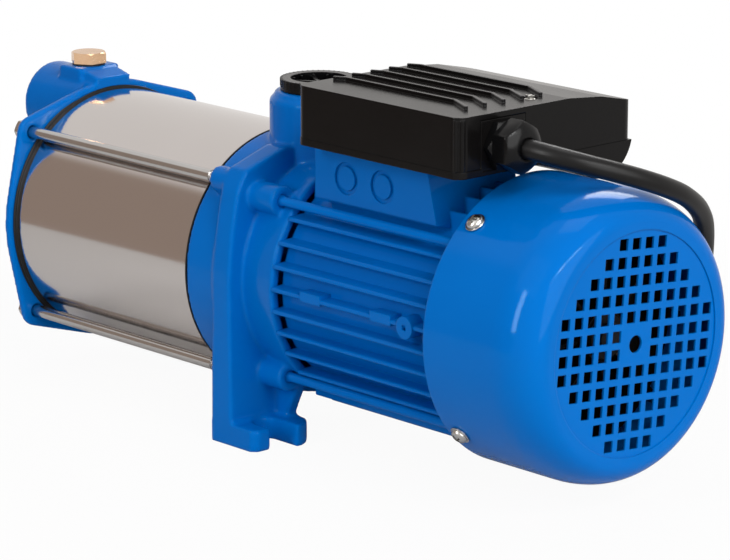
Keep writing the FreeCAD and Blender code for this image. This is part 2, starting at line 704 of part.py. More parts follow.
def bracket_plate():
    """Upright plate of the bracket, with the ears' outline above and the two legs below."""
    ear_y = ROD_Y
    ear_z = SHAFT_HEIGHT + ROD_Z
    crown = math.radians(72)
    flank = math.radians(-10)
    crown_point = (ear_y + PLATE_EAR_RADIUS * math.cos(crown), ear_z + PLATE_EAR_RADIUS * math.sin(crown))
    flank_point = (ear_y + PLATE_EAR_RADIUS * math.cos(flank), ear_z + PLATE_EAR_RADIUS * math.sin(flank))
    waist_point = (PLATE_WAIST_Y, SHAFT_HEIGHT)
    bulge_point = (PLATE_BULGE_Y, (flank_point[1] + SHAFT_HEIGHT) / 2 + 2)
    arch_z = SHAFT_HEIGHT - math.sqrt(DRUM_RADIUS ** 2 - FOOT_INNER_Y ** 2) + 2

    def at(point):
        return Vector(PLATE_FRONT_X, point[0], point[1])

    edges = [
        Part.makeLine(at((0, RIDGE_PORT_Z)), at((RIDGE_PORT_Y, RIDGE_PORT_Z))),
        Part.makeLine(at((RIDGE_PORT_Y, RIDGE_PORT_Z)), at(crown_point)),
        Part.makeLine(at(crown_point), at(flank_point)),
        Part.Arc(at(flank_point), at(bulge_point), at(waist_point)).toShape(),
        Part.makeLine(at(waist_point), at((FOOT_SIDE_Y, FOOT_THICKNESS))),
        Part.makeLine(at((FOOT_SIDE_Y, FOOT_THICKNESS)), at((FOOT_SIDE_Y, 0))),
        Part.makeLine(at((FOOT_SIDE_Y, 0)), at((FOOT_INNER_Y, 0))),
        Part.makeLine(at((FOOT_INNER_Y, 0)), at((FOOT_INNER_Y, arch_z))),
        Part.makeLine(at((FOOT_INNER_Y, arch_z)), at((0, arch_z))),
        Part.makeLine(at((0, arch_z)), at((0, RIDGE_PORT_Z))),
    ]
    face = Part.Face(Part.Wire(edges))
    whole = face.extrude(Vector(LEG_BASE_BACK_X - PLATE_FRONT_X, 0, 0))
    side = prism_y([(PLATE_FRONT_X, 0), (LEG_BASE_BACK_X, 0), (LEG_BASE_BACK_X, FOOT_THICKNESS),
                    (PLATE_BACK_X, LEG_WAIST_Z), (PLATE_BACK_X, PORT_TOP_Z), (PLATE_FRONT_X, PORT_TOP_Z)],
                   0, FOOT_SIDE_Y)
    half = whole.common(side)
    return [half, mirrored(half)]


def foot():
    """One foot: base with an open bolt slot, and the gusset behind it."""
    chamfer = FOOT_CHAMFER
    corner = PRONG_CORNER
    far = Vector(PRONG_BACK_X - corner, FOOT_INNER_Y + corner, 0)
    base = block(FOOT_FRONT_X, FOOT_BACK_X, FOOT_INNER_Y, FOOT_SIDE_Y, 0, FOOT_THICKNESS)
    prong = block(FOOT_FRONT_X, PRONG_BACK_X, FOOT_INNER_Y, SLOT_Y, 0, FOOT_THICKNESS)
    base = base.fuse(prong)
    outer_cut = prism_z([(FOOT_BACK_X - chamfer, FOOT_SIDE_Y + 1), (FOOT_BACK_X + 1, FOOT_SIDE_Y + 1),
                         (FOOT_BACK_X + 1, FOOT_SIDE_Y - chamfer)], -1, FOOT_THICKNESS + 1)
    inner_cut = block(far.x, PRONG_BACK_X + 1, FOOT_INNER_Y - 1, far.y, -1, FOOT_THICKNESS + 1)
    inner_cut = inner_cut.cut(post(corner, far.x, far.y, -2, FOOT_THICKNESS + 2))
    base = less(base, [outer_cut, inner_cut])
    boss_z = SHAFT_HEIGHT - BOLT_CIRCLE * math.sin(math.radians(45))
    gusset = prism_y([(PLATE_FRONT_X + 2, FOOT_THICKNESS - 1), (GUSSET_BASE_X, FOOT_THICKNESS - 1),
                      (GUSSET_TOP_X, boss_z - 10), (GUSSET_TOP_X, boss_z), (PLATE_FRONT_X + 2, boss_z)],
                     GUSSET_Y - GUSSET_THICKNESS / 2, GUSSET_Y + GUSSET_THICKNESS / 2)
    return [base, gusset]


def slot_cut():
    """Space of one bolt slot, open towards the motor."""
    return [post(SLOT_RADIUS, SLOT_END_X, SLOT_Y, -1, FOOT_THICKNESS + 1),
            block(SLOT_END_X, PRONG_BACK_X + 1, SLOT_Y - SLOT_RADIUS, SLOT_Y + SLOT_RADIUS, -1,
                  FOOT_THICKNESS + 1)]


def bracket():
    """Motor bracket: drum and port at the pump end, feet, and the bell that carries the motor."""
    parts = bracket_plate()
    parts.append(bar(DRUM_RADIUS, DRUM_FRONT_X, PLATE_BACK_X))
    parts.append(turned([(PLATE_FRONT_X, 0), (PLATE_FRONT_X, BELL_FRONT_RADIUS),
                         (PLATE_BACK_X, BELL_FRONT_RADIUS), (BELL_BACK_X, BELL_BACK_RADIUS),
                         (BELL_BACK_X, 0)]))
    for y, z in rod_places():
        parts.append(bar(EAR_RADIUS, EAR_FRONT_X, PLATE_BACK_X, y, z))
        heading = math.degrees(math.atan2(z - SHAFT_HEIGHT, y))
        web = block(EAR_FRONT_X, PLATE_BACK_X, DRUM_RADIUS - 12, math.hypot(ROD_Y, ROD_Z),
                    SHAFT_HEIGHT - EAR_RADIUS, SHAFT_HEIGHT + EAR_RADIUS)
        parts.append(about_shaft(web, heading))
    for y, z in bolt_places():
        parts.append(bar(BOLT_BOSS_RADIUS, PLATE_FRONT_X, BOLT_BOSS_BACK_X, y, z))
    port_z = SHAFT_HEIGHT + CHAMBER_RADIUS - 10
    parts.append(turned_upright([(0, port_z), (PORT_RADIUS, port_z),
                                 (PORT_RADIUS, PORT_TOP_Z - PORT_STEP - PORT_CHAMFER),
                                 (PORT_RADIUS - PORT_CHAMFER, PORT_TOP_Z - PORT_STEP),
                                 (PORT_RADIUS - PORT_CHAMFER, PORT_TOP_Z), (0, PORT_TOP_Z)], PORT_X, 0))
    for solid in foot():
        parts += [solid, mirrored(solid)]
    body = joined(parts)

    seat_back = CHAMBER_BACK_X + SEAL_SEAT_DEPTH
    hub_radius = BEARING_RADIUS + BEARING_HOUSING_WALL
    hub_end = FRONT_BEARING_X + BEARING_WIDTH
    inner_bell = BELL_FRONT_RADIUS - BELL_WALL
    bell_mouth = BELL_BACK_RADIUS - BELL_WALL
    bell_floor = PLATE_BACK_X - 4
    past_bell = BELL_BACK_X + 1
    passage_top = SHAFT_HEIGHT + DRUM_RADIUS - 6
    cuts = [
        bar(CHAMBER_RADIUS, DRUM_FRONT_X - 1, CHAMBER_BACK_X),
        bar(SEAL_SEAT_RADIUS, CHAMBER_BACK_X - 1, seat_back),
        bar(BEARING_SEAT_RADIUS + FIT + 0.7, seat_back - 1, FRONT_BEARING_X + 1),
        bar(BEARING_RADIUS, FRONT_BEARING_X, BELL_BACK_X + 1),
        bar(FLINGER_CAVITY_RADIUS, FLINGER_X - 2, FRONT_BEARING_X - 3),
        block(FLINGER_X - 2, FRONT_BEARING_X - 3, -7, 7, SHAFT_HEIGHT - DRUM_RADIUS - 2, SHAFT_HEIGHT),
        turned([(bell_floor, hub_radius), (past_bell, hub_radius), (past_bell, bell_mouth),
                (BELL_BACK_X, bell_mouth), (bell_floor, inner_bell)]),
        ring(hub_radius + 1, BEARING_RADIUS - 1, hub_end, BELL_BACK_X + 1),
        post(PIPE_THREAD_RADIUS, PORT_X, 0, PORT_TOP_Z - PORT_THREAD_LENGTH, PORT_TOP_Z + 1),
        post(PORT_BORE_RADIUS, PORT_X, 0, PORT_PASSAGE_Z, PORT_TOP_Z),
        block(CHAMBER_BACK_X - 8, PORT_X, -PORT_BORE_RADIUS, PORT_BORE_RADIUS, PORT_PASSAGE_Z, passage_top),
    ]
    for tool in slot_cut():
        cuts += [tool, mirrored(tool)]
    thread_end = EAR_FRONT_X + ROD_THREAD_LENGTH + 2
    cuts += [bar(ROD_THREAD_RADIUS + THREAD_GAP, EAR_FRONT_X - 1, thread_end, y, z) for y, z in rod_places()]
    for y, z in bolt_places():
        cuts.append(bar(BOLT_RADIUS + THREAD_GAP, BOLT_FRONT_X - 2, BELL_BACK_X + 1, y, z))
    return less(body, cuts)


def discharge_cap():
    """Plastic cap in the discharge port: hollow plug, wide rim and a cross of ribs inside."""
    rim_z = PORT_TOP_Z + FIT
    plug = PIPE_THREAD_RADIUS - THREAD_GAP
    cap = turned_upright([
        (0, rim_z - CAP_DEPTH), (plug, rim_z - CAP_DEPTH), (plug, rim_z), (CAP_RIM_RADIUS, rim_z),
        (CAP_RIM_RADIUS, rim_z + CAP_RIM_HEIGHT), (plug - CAP_WALL, rim_z + CAP_RIM_HEIGHT),
        (plug - CAP_WALL, rim_z - CAP_DEPTH + CAP_WALL), (0, rim_z - CAP_DEPTH + CAP_WALL)], PORT_X, 0)
    ribs = []
    for turn in (30, 90, 150):
        rib = block(PORT_X - plug + CAP_WALL / 2, PORT_X + plug - CAP_WALL / 2, -CAP_WALL / 2, CAP_WALL / 2,
                    rim_z - CAP_DEPTH + CAP_WALL / 2, rim_z + CAP_RIM_HEIGHT - 2)
        rib.rotate(Vector(PORT_X, 0, 0), Z_AXIS, turn)
        ribs.append(rib)
    return joined([cap] + ribs)


def fin_rows():
    """Heights of the level fins above the shaft axis."""
    return [FIN_FIRST_Z + FIN_PITCH * row for row in range(SIDE_FINS)]


def fin(offset, tip_radius):
    """One tapered fin that points along +Y from the barrel, offset above the shaft axis."""
    tip = math.sqrt(tip_radius ** 2 - offset ** 2)
    root = math.sqrt(FRAME_RADIUS ** 2 - (abs(offset) + FIN_ROOT / 2) ** 2) - 0.5
    z = SHAFT_HEIGHT + offset
    return prism_x([(root, z - FIN_ROOT / 2), (tip - 0.6, z - FIN_TIP / 2), (tip, z - FIN_TIP / 2 + 0.5),
                    (tip, z + FIN_TIP / 2 - 0.5), (tip - 0.6, z + FIN_TIP / 2), (root, z + FIN_ROOT / 2)],
                   FIN_FRONT_X, FIN_BACK_X)


def motor_frame():
    """Finned motor barrel with the pedestal for the terminal box and the earth boss."""
    parts = [bar(FRAME_RADIUS, BELL_BACK_X, FRAME_BACK_X)]
    for offset in fin_rows():
        solid = fin(offset, FIN_TIP_RADIUS)
        parts += [solid, mirrored(solid)]
    middle = (UPRIGHT_FINS - 1) / 2
    for place in range(UPRIGHT_FINS):
        offset = (place - middle) * UPRIGHT_FIN_PITCH
        parts.append(about_shaft(fin(offset, FIN_TIP_RADIUS), 90))
        parts.append(about_shaft(fin(offset, LOW_FIN_TIP_RADIUS), -90))
    foot_z = PEDESTAL_FOOT_Z
    crown_z = SHAFT_HEIGHT + STATOR_RADIUS + 1
    flared_x = PEDESTAL_BACK_X + PEDESTAL_FLARE
    pedestal = prism_x([(PEDESTAL_NEAR_Y, PEDESTAL_TOP_Z), (PEDESTAL_NEAR_Y, foot_z),
                        (PEDESTAL_NEAR_Y + 12, foot_z - 3), (0, crown_z), (PEDESTAL_FAR_Y, crown_z),
                        (PEDESTAL_FAR_Y, PEDESTAL_TOP_Z)], PEDESTAL_FRONT_X, flared_x)
    parts.append(pedestal.common(prism_y([
        (PEDESTAL_FRONT_X, foot_z - 5), (PEDESTAL_FRONT_X, PEDESTAL_TOP_Z), (PEDESTAL_BACK_X, PEDESTAL_TOP_Z),
        (flared_x, foot_z), (flared_x, foot_z - 5)], PEDESTAL_NEAR_Y - 1, PEDESTAL_FAR_Y + 1)))
    parts.append(Part.makeCylinder(EARTH_BOSS_RADIUS, FIN_TIP_RADIUS + 0.8 - FRAME_RADIUS + 2,
                                   Vector(EARTH_BOSS_X, -FRAME_RADIUS + 2, EARTH_BOSS_Z), Y_AXIS * -1))
    for x in LUG_PLACES:
        parts.append(block(x - LUG_LENGTH / 2, x + LUG_LENGTH / 2, -FIN_TIP_RADIUS, -FRAME_RADIUS + 2,
                           LUG_Z - LUG_HEIGHT / 2, LUG_Z + LUG_HEIGHT / 2))
    body = joined(parts)
    wall = PEDESTAL_WALL
    hollow = block(PEDESTAL_FRONT_X + wall, PEDESTAL_BACK_X - wall, PEDESTAL_NEAR_Y + wall,
                   PEDESTAL_FAR_Y - wall, PEDESTAL_FLOOR_Z, PEDESTAL_TOP_Z + 1)
    hollow = less(hollow, [post(BASE_SCREW_POST, x, y, PEDESTAL_FLOOR_Z - 1, PEDESTAL_TOP_Z + 2)
                           for x, y in base_screw_places()])
    cuts = [
        bar(STATOR_RADIUS, BELL_BACK_X - 1, FRAME_BACK_X + 1),
        hollow,
        post(LEAD_HOLE_RADIUS, LEAD_HOLE_X, LEAD_HOLE_Y, SHAFT_HEIGHT, PEDESTAL_TOP_Z),
    ]
    for step in range(2):
        face = Vector(KNOCKOUT_X + KNOCKOUT_PITCH * step, PEDESTAL_NEAR_Y + KNOCKOUT_DEPTH, KNOCKOUT_Z)
        disc = Part.makeCylinder(KNOCKOUT_DISC_RADIUS, KNOCKOUT_DEPTH + 1, face, Y_AXIS * -1)
        cuts.append(Part.makeCylinder(KNOCKOUT_RADIUS, KNOCKOUT_DEPTH + 1, face, Y_AXIS * -1).cut(disc))
    cuts.append(block(EARTH_BOSS_X - EARTH_RECESS / 2, EARTH_BOSS_X + EARTH_RECESS / 2, -FIN_TIP_RADIUS - 2,
                      -FIN_TIP_RADIUS + 1, EARTH_BOSS_Z - EARTH_RECESS / 2, EARTH_BOSS_Z + EARTH_RECESS / 2))
    cuts += [bar(BOLT_RADIUS + 2 * FIT, BELL_BACK_X - 1, FRAME_BACK_X + 1, y, z) for y, z in bolt_places()]
    cuts += [post(BASE_SCREW_SHANK + THREAD_GAP, x, y, PEDESTAL_FLOOR_Z + 2, PEDESTAL_TOP_Z + 1)
             for x, y in base_screw_places()]
    return less(body, cuts)


def motor_bolts():
    """Four long bolts that clamp the rear shield and the frame to the bracket."""
    head_x = FRAME_BACK_X + SHIELD_THICKNESS
    return [joined([hexagon(BOLT_HEAD_AF, BOLT_HEAD_HEIGHT, Vector(head_x, y, z), X_AXIS),
                    bar(BOLT_RADIUS, BOLT_FRONT_X, head_x, y, z)]) for y, z in bolt_places()]


def cover_screw_angles():
    """Turns of the four fan cover screws about the shaft, from +Y."""
    return [COVER_TURN + COVER_SCREW_ANGLE + 90 * step for step in range(4)]


def rear_shield():
    """Rear end shield: disc, bearing housing, register and the four lugs for the fan cover."""
    back = FRAME_BACK_X + SHIELD_THICKNESS
    housing = BEARING_RADIUS + BEARING_HOUSING_WALL
    parts = [
        bar(SHIELD_RADIUS, FRAME_BACK_X, back),
        bar(STATOR_RADIUS, FRAME_BACK_X - SHIELD_REGISTER, back),
        bar(housing, REAR_BEARING_X - 3, back),
    ]
    lug_out = COVER_RADIUS - COVER_WALL - FIT
    for y, z in bolt_places():
        parts.append(bar(BOLT_BOSS_RADIUS, FRAME_BACK_X, back, y, z).common(bar(lug_out, FRAME_BACK_X, back)))
    for angle in cover_screw_angles():
        lug = block(FIN_BACK_X + 0.6, back, FRAME_RADIUS + FIT, lug_out,
                    SHAFT_HEIGHT - SHIELD_LUG_WIDTH / 2, SHAFT_HEIGHT + SHIELD_LUG_WIDTH / 2)
        arm = block(FRAME_BACK_X, back, FRAME_RADIUS - 4, lug_out,
                    SHAFT_HEIGHT - SHIELD_LUG_WIDTH / 2, SHAFT_HEIGHT + SHIELD_LUG_WIDTH / 2)
        parts += [about_shaft(lug, angle), about_shaft(arm, angle)]
    body = joined(parts)
    cuts = [
        bar(BEARING_RADIUS, REAR_BEARING_X - 4, REAR_BEARING_X + BEARING_WIDTH + SPRING_SPACE),
        bar(BEARING_SEAT_RADIUS + 1, REAR_BEARING_X, back + 1),
        ring(STATOR_RADIUS - 3, housing, FRAME_BACK_X - SHIELD_REGISTER - 1, FRAME_BACK_X + 1),
    ]
    cuts += [bar(BOLT_RADIUS + FIT, FIN_BACK_X, back + 1, y, z) for y, z in bolt_places()]
    bottom = Vector(COVER_SCREW_X, COVER_RADIUS - COVER_SCREW_LENGTH - 1, SHAFT_HEIGHT)
    hole = Part.makeCylinder(COVER_SCREW_SHANK + THREAD_GAP, COVER_SCREW_LENGTH + 2, bottom, Y_AXIS)
    cuts += [about_shaft(hole, angle) for angle in cover_screw_angles()]
    return less(body, cuts)


def cover_screws():
    """Pan-head screws with washers that hold the fan cover."""
    screws = []
    washers = []
    seat = COVER_RADIUS + 0.2
    for angle in cover_screw_angles():
        head_base = Vector(COVER_SCREW_X, seat + COVER_WASHER_THICKNESS, SHAFT_HEIGHT)
        head = Part.makeCylinder(COVER_SCREW_RADIUS, COVER_SCREW_HEIGHT, head_base, Y_AXIS)
        half_up = head_base.y + COVER_SCREW_HEIGHT / 2
        rim = [edge for edge in head.Edges if edge.Closed and edge.BoundBox.YMin > half_up]
        head = head.makeFillet(COVER_SCREW_HEIGHT * 0.6, rim)
        shank = Part.makeCylinder(COVER_SCREW_SHANK, COVER_SCREW_LENGTH + COVER_WASHER_THICKNESS,
                                  head_base, Y_AXIS * -1)
        washer = Part.makeCylinder(COVER_WASHER_RADIUS, COVER_WASHER_THICKNESS,
                                   Vector(COVER_SCREW_X, seat, SHAFT_HEIGHT), Y_AXIS)
        washer = washer.cut(Part.makeCylinder(COVER_SCREW_SHANK + THREAD_GAP, COVER_WASHER_THICKNESS + 2,
                                              Vector(COVER_SCREW_X, seat - 1, SHAFT_HEIGHT), Y_AXIS))
        screws.append(about_shaft(joined([head, shank]), angle))
        washers.append(about_shaft(washer, angle))
    return screws, washers


def fan_cover():
    """Deep-drawn sheet cover: cylinder, elliptical shoulder, and end face pierced by a grid of holes."""
    drop = COVER_RADIUS - COVER_FACE_RADIUS
    wall = COVER_WALL
    outer = domed(COVER_FRONT_X, FAN_END_X, COVER_RADIUS, SHOULDER_LENGTH, drop)
    inner = domed(COVER_FRONT_X - 1, FAN_END_X - wall - FACE_STEP, COVER_RADIUS - wall,
                  SHOULDER_LENGTH - wall, drop)
    cuts = [inner, bar(FACE_STEP_RADIUS, FAN_END_X - FACE_STEP, FAN_END_X + 1),
            bar(CENTRE_HOLE_RADIUS, FAN_END_X - 10, FAN_END_X + 1)]
    first_row = (len(GRILLE_ROWS) - 1) / 2
    half = HOLE_SIDE / 2
    for row, count in enumerate(GRILLE_ROWS):
        z = SHAFT_HEIGHT + (first_row - row) * HOLE_PITCH
        beside_centre = abs(first_row - row) < 1
        for place in range(count):
            column = place - (count - 1) / 2
            if beside_centre:
                column += math.copysign(1, column)
            y = column * HOLE_PITCH
            hole = block(FAN_END_X - 6, FAN_END_X + 1, y - half, y + half, z - half, z + half)
            cuts.append(about_shaft(hole, COVER_TURN))
    inside = Vector(COVER_SCREW_X, COVER_RADIUS - 2 * wall, SHAFT_HEIGHT)
    hole = Part.makeCylinder(COVER_SCREW_SHANK + FIT, 4 * wall, inside, Y_AXIS)
    cuts += [about_shaft(hole, angle) for angle in cover_screw_angles()]
    return less(outer, cuts)


def cooling_fan():
    """Radial fan: dished disc, hub and straight blades."""
    back = FAN_FRONT_X + FAN_WIDTH
    bend = FAN_RADIUS * 0.6
    disc = turned([(FAN_FRONT_X, FAN_HUB_RADIUS - 3), (FAN_FRONT_X, bend), (FAN_FRONT_X + 5, FAN_RADIUS),
                   (FAN_FRONT_X + 5 + FAN_DISC, FAN_RADIUS), (FAN_FRONT_X + FAN_DISC, bend),
                   (FAN_FRONT_X + FAN_DISC, FAN_HUB_RADIUS - 3)])
    hub = ring(FAN_HUB_RADIUS, SHAFT_RADIUS + RUN, FAN_FRONT_X, back)
    blade = prism_y([(FAN_FRONT_X + FAN_DISC / 2, SHAFT_HEIGHT + FAN_HUB_RADIUS - 2),
                     (FAN_FRONT_X + FAN_DISC / 2, SHAFT_HEIGHT + bend),
                     (FAN_FRONT_X + 5 + FAN_DISC / 2, SHAFT_HEIGHT + FAN_RADIUS - 0.5),
                     (back - 5, SHAFT_HEIGHT + FAN_RADIUS - 0.5),
                     (back, SHAFT_HEIGHT + FAN_RADIUS - 8), (back, SHAFT_HEIGHT + FAN_HUB_RADIUS + 6),
                     (back - 4, SHAFT_HEIGHT + FAN_HUB_RADIUS - 2)],
                    -FAN_BLADE_THICKNESS / 2, FAN_BLADE_THICKNESS / 2)
    blades = [about_shaft(blade, 360 / FAN_BLADES * step) for step in range(FAN_BLADES)]
    return joined([disc, hub] + blades)


def stator():
    """Laminated stator core and the two bundles of coil ends."""
    back = STATOR_BACK_X
    core = ring(STATOR_RADIUS, STATOR_BORE, STATOR_FRONT_X, back)
    inner = STATOR_BORE + 3
    ends = []
    for start, outward in ((STATOR_FRONT_X, -1), (back, 1)):
        end = start + outward * WINDING_OVERHANG
        bend = end - outward * 4
        ends.append(turned([(start, inner), (start, WINDING_RADIUS - 2), (bend, WINDING_RADIUS),
                            (end, WINDING_RADIUS - 4), (end, inner + 4), (bend, inner)]))
    return core, ends


def rotor_core():
    """Rotor laminations with their cast end rings."""
    outer = STATOR_BORE - AIR_GAP
    back = STATOR_BACK_X
    front = STATOR_FRONT_X
    inner = ROTOR_SEAT_RADIUS + END_RING
    return turned([
        (front - END_RING, inner), (front - END_RING, outer - 2), (front, outer - 2), (front, outer),
        (back, outer), (back, outer - 2), (back + END_RING, outer - 2), (back + END_RING, inner),
        (back, inner), (back, ROTOR_SEAT_RADIUS), (front, ROTOR_SEAT_RADIUS), (front, inner)])


def trough(radius, x0, x1):
    """Half-round bulge under the far side of the terminal box."""
    return bar(radius, x0, x1, TROUGH_Y, TROUGH_Z).common(
        block(x0, x1, -BOX_HALF_WIDTH, BOX_HALF_WIDTH, 0, BOX_SEAM_Z))


def box_base():
    """Open tray of the terminal box with the capacitor trough and the raised tab for the cable gland."""
    wall = BOX_WALL
    side = BOX_HALF_WIDTH
    inner_side = side - wall
    outer = rounded_block(BOX_FRONT_X, BOX_BACK_X, -side, side, BOX_BOTTOM_Z, BOX_SEAM_Z, BOX_CORNER)
    tray = joined([outer, trough(TROUGH_RADIUS, BOX_FRONT_X, BOX_BACK_X)])
    hollow = rounded_block(BOX_FRONT_X + wall, BOX_BACK_X - wall, -inner_side, inner_side,
                           BOX_BOTTOM_Z + wall, BOX_SEAM_Z + 1, BOX_CORNER - wall)
    groove = bar(TROUGH_RADIUS - wall, BOX_FRONT_X + wall, BOX_BACK_X - wall, TROUGH_Y, TROUGH_Z)
    tray = less(tray, [hollow, groove])
    tab_half = GLAND_TAB_WIDTH / 2
    face_x = BOX_BACK_X - BASE_PROUD
    tab = block(face_x - wall, face_x, GLAND_Y - tab_half, GLAND_Y + tab_half, BOX_SEAM_Z - 1,
                GLAND_TAB_TOP_Z)
    posts = [post(LID_POST_RADIUS, x, y, BOX_BOTTOM_Z + 1, BOX_SEAM_Z) for x, y in lid_screw_places()]
    tray = joined([tray, tab] + posts)
    collar_half = GLAND_AF / math.sqrt(3) + FIT
    cuts = [bar(GLAND_BODY_RADIUS + FIT, BOX_BACK_X - 12, BOX_BACK_X + 1, GLAND_Y, GLAND_Z),
            block(face_x, BOX_BACK_X + 1, GLAND_Y - collar_half, GLAND_Y + collar_half,
                  GLAND_Z - GLAND_AF / 2 - FIT, BOX_SEAM_Z + 1),
            post(LEAD_HOLE_RADIUS, LEAD_HOLE_X, LEAD_HOLE_Y, BOX_BOTTOM_Z - 1, BOX_SEAM_Z)]
    cuts += [post(BASE_SCREW_SHANK + FIT, x, y, BOX_BOTTOM_Z - 1, BOX_SEAM_Z) for x, y in base_screw_places()]
    cuts += [post(LID_SCREW_SHANK + THREAD_GAP, x, y, BOX_BOTTOM_Z + wall, BOX_SEAM_Z + 1)
             for x, y in lid_screw_places()]
    return less(tray, cuts)


def lid_section(inset):
    """Cross-section of the lid as (y, z): level over the near side, falling towards the far side."""
    near = -BOX_HALF_WIDTH + BASE_PROUD + inset
    far = BOX_HALF_WIDTH - BASE_PROUD - inset
    bottom = BOX_SEAM_Z - (1 if inset else 0)
    middle_y = (BOX_SLOPE_Y + far) / 2
    middle_z = BOX_TOP_Z - (BOX_TOP_Z - BOX_FAR_TOP_Z) * 0.3
    return [(near, bottom), (near, BOX_TOP_Z - inset), (BOX_SLOPE_Y, BOX_TOP_Z - inset),
            (middle_y, middle_z - inset), (far, BOX_FAR_TOP_Z - inset), (far, bottom)]


def box_lid():
    """Lid of the terminal box, with raised ribs that bend near both ends."""
    x0 = BOX_FRONT_X + BASE_PROUD
    x1 = BOX_BACK_X - BASE_PROUD
    half = BOX_HALF_WIDTH - BASE_PROUD
    shell = prism_x(lid_section(0), x0, x1).common(
        rounded_block(x0, x1, -half, half, BOX_SEAM_Z, BOX_TOP_Z + 1, BOX_CORNER))
    inner_half = half - BOX_WALL
    hollow = prism_x(lid_section(BOX_WALL), x0 + BOX_WALL, x1 - BOX_WALL).common(
        rounded_block(x0 + BOX_WALL, x1 - BOX_WALL, -inner_half, inner_half, BOX_SEAM_Z - 1, BOX_TOP_Z,
                      BOX_CORNER - BOX_WALL))
    shell = shell.cut(hollow)
    parts = [shell]
    for rib in range(LID_RIBS):
        y = LID_RIB_Y + LID_RIB_PITCH * rib
        path = [(x0 + LID_RIB_HOOK / 2, y - LID_RIB_HOOK / 2), (x0 + 1.5 * LID_RIB_HOOK, y),
                (LID_RIB_TURN_X, y), (LID_RIB_TURN_X + LID_RIB_END, y - LID_RIB_END / 2)]
        parts += lid_rib(path)
    for x, y in lid_screw_places():
        parts.append(post(LID_POST_RADIUS, x, y, BOX_SEAM_Z, BOX_TOP_Z - BOX_WALL / 2))
    heel = BOX_CORNER
    for turn in (-FLUTE_TURN, FLUTE_TURN):
        lean = math.radians(-45 + turn)
        parts.append(post(FLUTE_RADIUS, x1 - heel + (heel - 0.5) * math.cos(lean),
                          -half + heel + (heel - 0.5) * math.sin(lean), BOX_SEAM_Z, BOX_TOP_Z - FLUTE_RADIUS))
    body = joined(parts)
    tab_half = GLAND_TAB_WIDTH / 2 + FIT
    cuts = [block(x1 - BOX_WALL - 1, x1 + 1, GLAND_Y - tab_half, GLAND_Y + tab_half, BOX_SEAM_Z - 1,
                  GLAND_TAB_TOP_Z + FIT)]
    for x, y in lid_screw_places():
        cuts.append(post(LID_SCREW_RADIUS + FIT, x, y, BOX_TOP_Z - LID_SCREW_SINK, BOX_TOP_Z + 3))
        cuts.append(post(LID_SCREW_SHANK + THREAD_GAP, x, y, BOX_SEAM_Z - 1, BOX_TOP_Z))
    return less(body, cuts)


def lid_rib(path):
    """Raised strip along a path of (x, y) points on the lid."""
    z0 = BOX_TOP_Z - LID_RIB_HEIGHT
    z1 = BOX_TOP_Z + LID_RIB_HEIGHT
    half = LID_RIB_WIDTH / 2
    normals = []
    for start, end in zip(path, path[1:]):
        run = math.hypot(end[0] - start[0], end[1] - start[1])
        normals.append((-(end[1] - start[1]) / run, (end[0] - start[0]) / run))
    left = []
    right = []
    for place, point in enumerate(path):
        before = normals[max(place - 1, 0)]
        after = normals[min(place, len(normals) - 1)]
        mean = (before[0] + after[0], before[1] + after[1])
        scale = half * 2 / (mean[0] ** 2 + mean[1] ** 2)
        left.append((point[0] + mean[0] * scale, point[1] + mean[1] * scale))
        right.append((point[0] - mean[0] * scale, point[1] - mean[1] * scale))
    return [prism_z(left + right[::-1], z0, z1)]


def lid_screw_places():
    """Centre of the lid screw, in a list, near the gland end; the other end hooks into the tray."""
    return [(BOX_BACK_X - LID_SCREW_INSET, LID_SCREW_Y)]


def base_screw_places():
    """Centres of the screws that hold the tray on the pedestal."""
    return [(x, y) for x in (BASE_SCREW_FRONT_X, PEDESTAL_BACK_X - BASE_SCREW_INSET)
            for y in (PEDESTAL_NEAR_Y + BASE_SCREW_INSET, PEDESTAL_FAR_Y - BASE_SCREW_INSET)]


def terminal_block():
    """Plastic terminal strip on the tray's floor."""
    z0 = BOX_BOTTOM_Z + BOX_WALL
    body = block(TERMINAL_X, TERMINAL_X + TERMINAL_LENGTH, TERMINAL_Y - TERMINAL_WIDTH / 2,
                 TERMINAL_Y + TERMINAL_WIDTH / 2, z0, z0 + TERMINAL_HEIGHT)
    wells = []
    screws = []
    pitch = TERMINAL_LENGTH / TERMINAL_WAYS
    top = z0 + TERMINAL_HEIGHT
    for way in range(TERMINAL_WAYS):
        x = TERMINAL_X + pitch * (way + 0.5)
        for y in (TERMINAL_Y - TERMINAL_WIDTH / 4, TERMINAL_Y + TERMINAL_WIDTH / 4):
            wells.append(post(TERMINAL_WELL_RADIUS, x, y, top - 4, top + 1))
            screws.append(post(TERMINAL_WELL_RADIUS - FIT, x, y, top - 4, top - 1.5))
    return less(body, wells), screws


def capacitor():
    """Run capacitor lying in the trough, with its two blade terminals."""
    back = CAPACITOR_FRONT_X + CAPACITOR_LENGTH
    can = bar(CAPACITOR_RADIUS, CAPACITOR_FRONT_X, back, TROUGH_Y, CAPACITOR_Z)
    blades = []
    for side in (-1, 1):
        y = TROUGH_Y + side * CAPACITOR_BLADE_SPACING / 2
        blades.append(block(back - 1, back + 8, y - 3, y + 3, CAPACITOR_Z - CAPACITOR_BLADE / 2,
                            CAPACITOR_Z + CAPACITOR_BLADE / 2))
    return joined([can] + blades)


